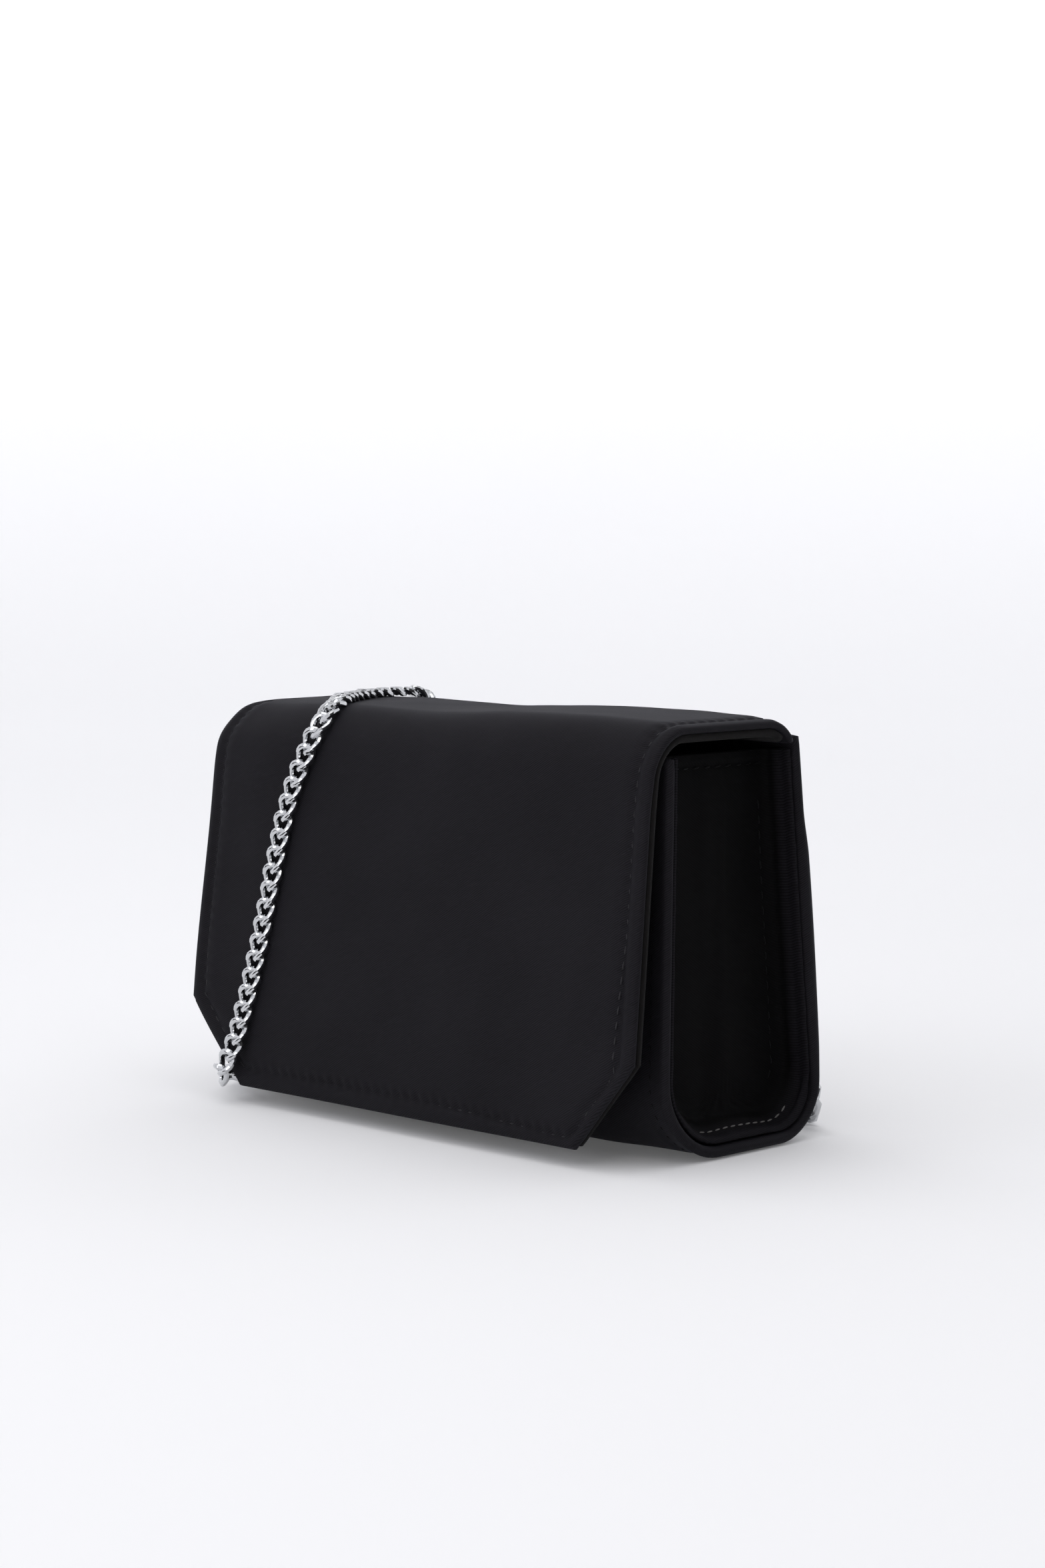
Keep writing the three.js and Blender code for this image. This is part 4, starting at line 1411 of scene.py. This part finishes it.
def tab_line():
    """Up the back, round the bar, and down again on itself."""
    up = Vector((math.sin(math.radians(-BACK_LEAN)), math.cos(math.radians(-BACK_LEAN))))
    out = Vector((up.y, -up.x))
    round_bar = [
        BAR_AT + (out * math.cos(a) - up * math.sin(a)) * 1.95
        for a in (math.radians(mix(-170, 175, k / 28)) for k in range(29))
    ]
    top = round_bar[0] + up * 0.3
    return Run([top + up * TAB_LENGTH - out * 0.25, top + up * 3] + round_bar + [top - out * 0.35 + up * 1.2])


def tab(name, x):
    line = tab_line()
    bm = bent_slab(
        line, side_of(TAB_WIDTH, line.length), (-TAB_WIDTH / 2, TAB_WIDTH / 2), (0, line.length),
        cell=0.6, thickness=TAB_THICK, depth=0.0, rounds=2,
        relief=lambda x, s, d: 0.12 * noise.noise(Vector((x * 0.5, s * 0.5, 1.0))) * smoothstep(0.4, 1.5, d),
    )
    bmesh.ops.translate(bm, verts=bm.verts, vec=(x * MM, 0, 0))
    bmesh.ops.recalc_face_normals(bm, faces=bm.faces)
    return collect(name, bm, SATIN)


tabs = [tab("tab_left", -ANCHOR_X), tab("tab_right", ANCHOR_X)]

# %% Rings
RING_HALF, RING_WIRE, RING_LEG = 5.0, 0.8, 1.2


def d_ring(name, x):
    bm = bmesh.new()
    bmesh.ops.create_circle(bm, segments=14, radius=RING_WIRE)
    bmesh.ops.translate(bm, verts=bm.verts, vec=(RING_HALF, 0, RING_LEG))
    leg = bmesh.ops.extrude_edge_only(bm, edges=bm.edges[:])
    end = [v for v in leg["geom"] if isinstance(v, bmesh.types.BMVert)]
    bmesh.ops.translate(bm, verts=end, vec=(0, 0, -RING_LEG))
    loop = end + [e for e in leg["geom"] if isinstance(e, bmesh.types.BMEdge)]
    loop = end + [e for e in bm.edges if e.verts[0] in end and e.verts[1] in end]
    bow = bmesh.ops.spin(bm, geom=loop, cent=(0, 0, 0), axis=(0, 1, 0), angle=math.pi, steps=28)
    tip = [v for v in bow["geom_last"] if isinstance(v, bmesh.types.BMVert)]
    last = tip + [e for e in bm.edges if e.verts[0] in tip and e.verts[1] in tip]
    leg = bmesh.ops.extrude_edge_only(bm, edges=[e for e in last if isinstance(e, bmesh.types.BMEdge)])
    end = [v for v in leg["geom"] if isinstance(v, bmesh.types.BMVert)]
    bmesh.ops.translate(bm, verts=end, vec=(0, 0, RING_LEG))
    bmesh.ops.holes_fill(bm, edges=[e for e in bm.edges if e.is_boundary], sides=0)
    rod = Matrix.Translation((0, 0, RING_LEG)) @ Matrix.Rotation(math.pi / 2, 4, "Y")
    bmesh.ops.create_cone(
        bm, cap_ends=True, segments=16, radius1=RING_WIRE, radius2=RING_WIRE,
        depth=2 * (RING_HALF + RING_WIRE), matrix=rod,
    )
    bmesh.ops.recalc_face_normals(bm, faces=bm.faces)
    spot = Matrix.Scale(MM, 4) @ Matrix.Translation((x, BAR_AT.x, BAR_AT.y - RING_LEG))
    bmesh.ops.transform(bm, matrix=spot, verts=bm.verts)
    return collect(name, bm, RING_CHROME, sharp_angle=math.radians(40))


rings = [d_ring("d_ring_left", -ANCHOR_X), d_ring("d_ring_right", ANCHOR_X)]
print("tabs and rings:", [len(o.data.polygons) for o in tabs + rings])

# %% [markdown]
# ## The hank's tie
# A narrow black ribbon is wrapped once round each long run of the hank, so the spare chain stays put.

# %% Ties
def ribbon_tie(name, x, y, low, high):
    half_wide, half_high, middle = 4.3, (high - low) / 2 + 1.6, (high + low) / 2
    ring = []
    for k in range(41):
        a = 2 * math.pi * k / 40
        c, q = math.cos(a), math.sin(a)
        ring.append(Vector((
            y + half_wide * abs(c) ** 0.6 * (1 if c > 0 else -1),
            max(0.45, middle + half_high * abs(q) ** 0.6 * (1 if q > 0 else -1)),
        )))
    line = Run(ring[::-1])
    bm = bent_slab(
        line, side_of(5.0, line.length), (-2.5, 2.5), (0, line.length), cell=1.0, thickness=0.3,
        depth=0.0, rounds=1,
    )
    bmesh.ops.translate(bm, verts=bm.verts, vec=(x * MM, 0, 0))
    return collect(name, bm, SATIN)


ties = [
    ribbon_tie("tie_far", -37, far_y, LOW_LAYER, HIGH_LAYER),
    ribbon_tie("tie_near", -22, near_y, LOW_LAYER, LOW_LAYER),
]

# %% [markdown]
# ## Finishes on the parts that the model gives
# The boards, washers, linings and snap halves keep their own shapes, and get finishes of their own.

# %% Finish the model's own parts
MODEL_FINISHES = {
    "front_board": BOARD,
    "bottom_board": BOARD,
    "back_board": BOARD,
    "gusset_lining_left": LINING,
    "gusset_lining_right": LINING,
    "snap_socket": STEEL,
    "snap_socket_washer": STEEL,
    "snap_stud": STEEL,
    "snap_stud_washer": STEEL,
}
for node, finish in MODEL_FINISHES.items():
    mesh = frame["nodes"][node].data
    mesh.materials.clear()
    mesh.materials.append(finish)

# %% [markdown]
# ## Which body each piece rides on
# The flap's cloth crosses the front bend, but here it and the hinge strip only have their places baked into
# their meshes. The rings swing on their own bodies, and the body's pieces, stitches, tabs and ties keep still
# with the bag.

# %% Riding and standing in
still = [body_satin, body_inside, gusset_left, gusset_right, body_stitches] + gusset_stitches + tabs + ties
for piece in still:
    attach(piece, "bag")
for piece in (flap_satin, flap_suede, flap_stitches, flap_wadding, flap_board):
    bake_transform(piece)
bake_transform(hinge_strip)
STANDS_FOR = [
    (flap_satin, "flap_top_cover", "flap_front_cover"),
    (flap_suede, "flap_top_lining", "flap_front_lining"),
    (flap_wadding, "flap_top_foam", "flap_front_foam"),
    (flap_board, "flap_top_board", "flap_front_board"),
    (body_satin, "body_outer"),
    (body_inside, "body_lining"),
    (gusset_left, "gusset_left"),
    (gusset_right, "gusset_right"),
]
for strap, ring, word in zip(tabs, rings, ("left", "right")):
    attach(ring, "ring_" + word)
    STANDS_FOR += [(ring, "anchor_ring_" + word), (strap, "anchor_tab_" + word)]
for piece, *solids in STANDS_FOR:
    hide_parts(*solids)
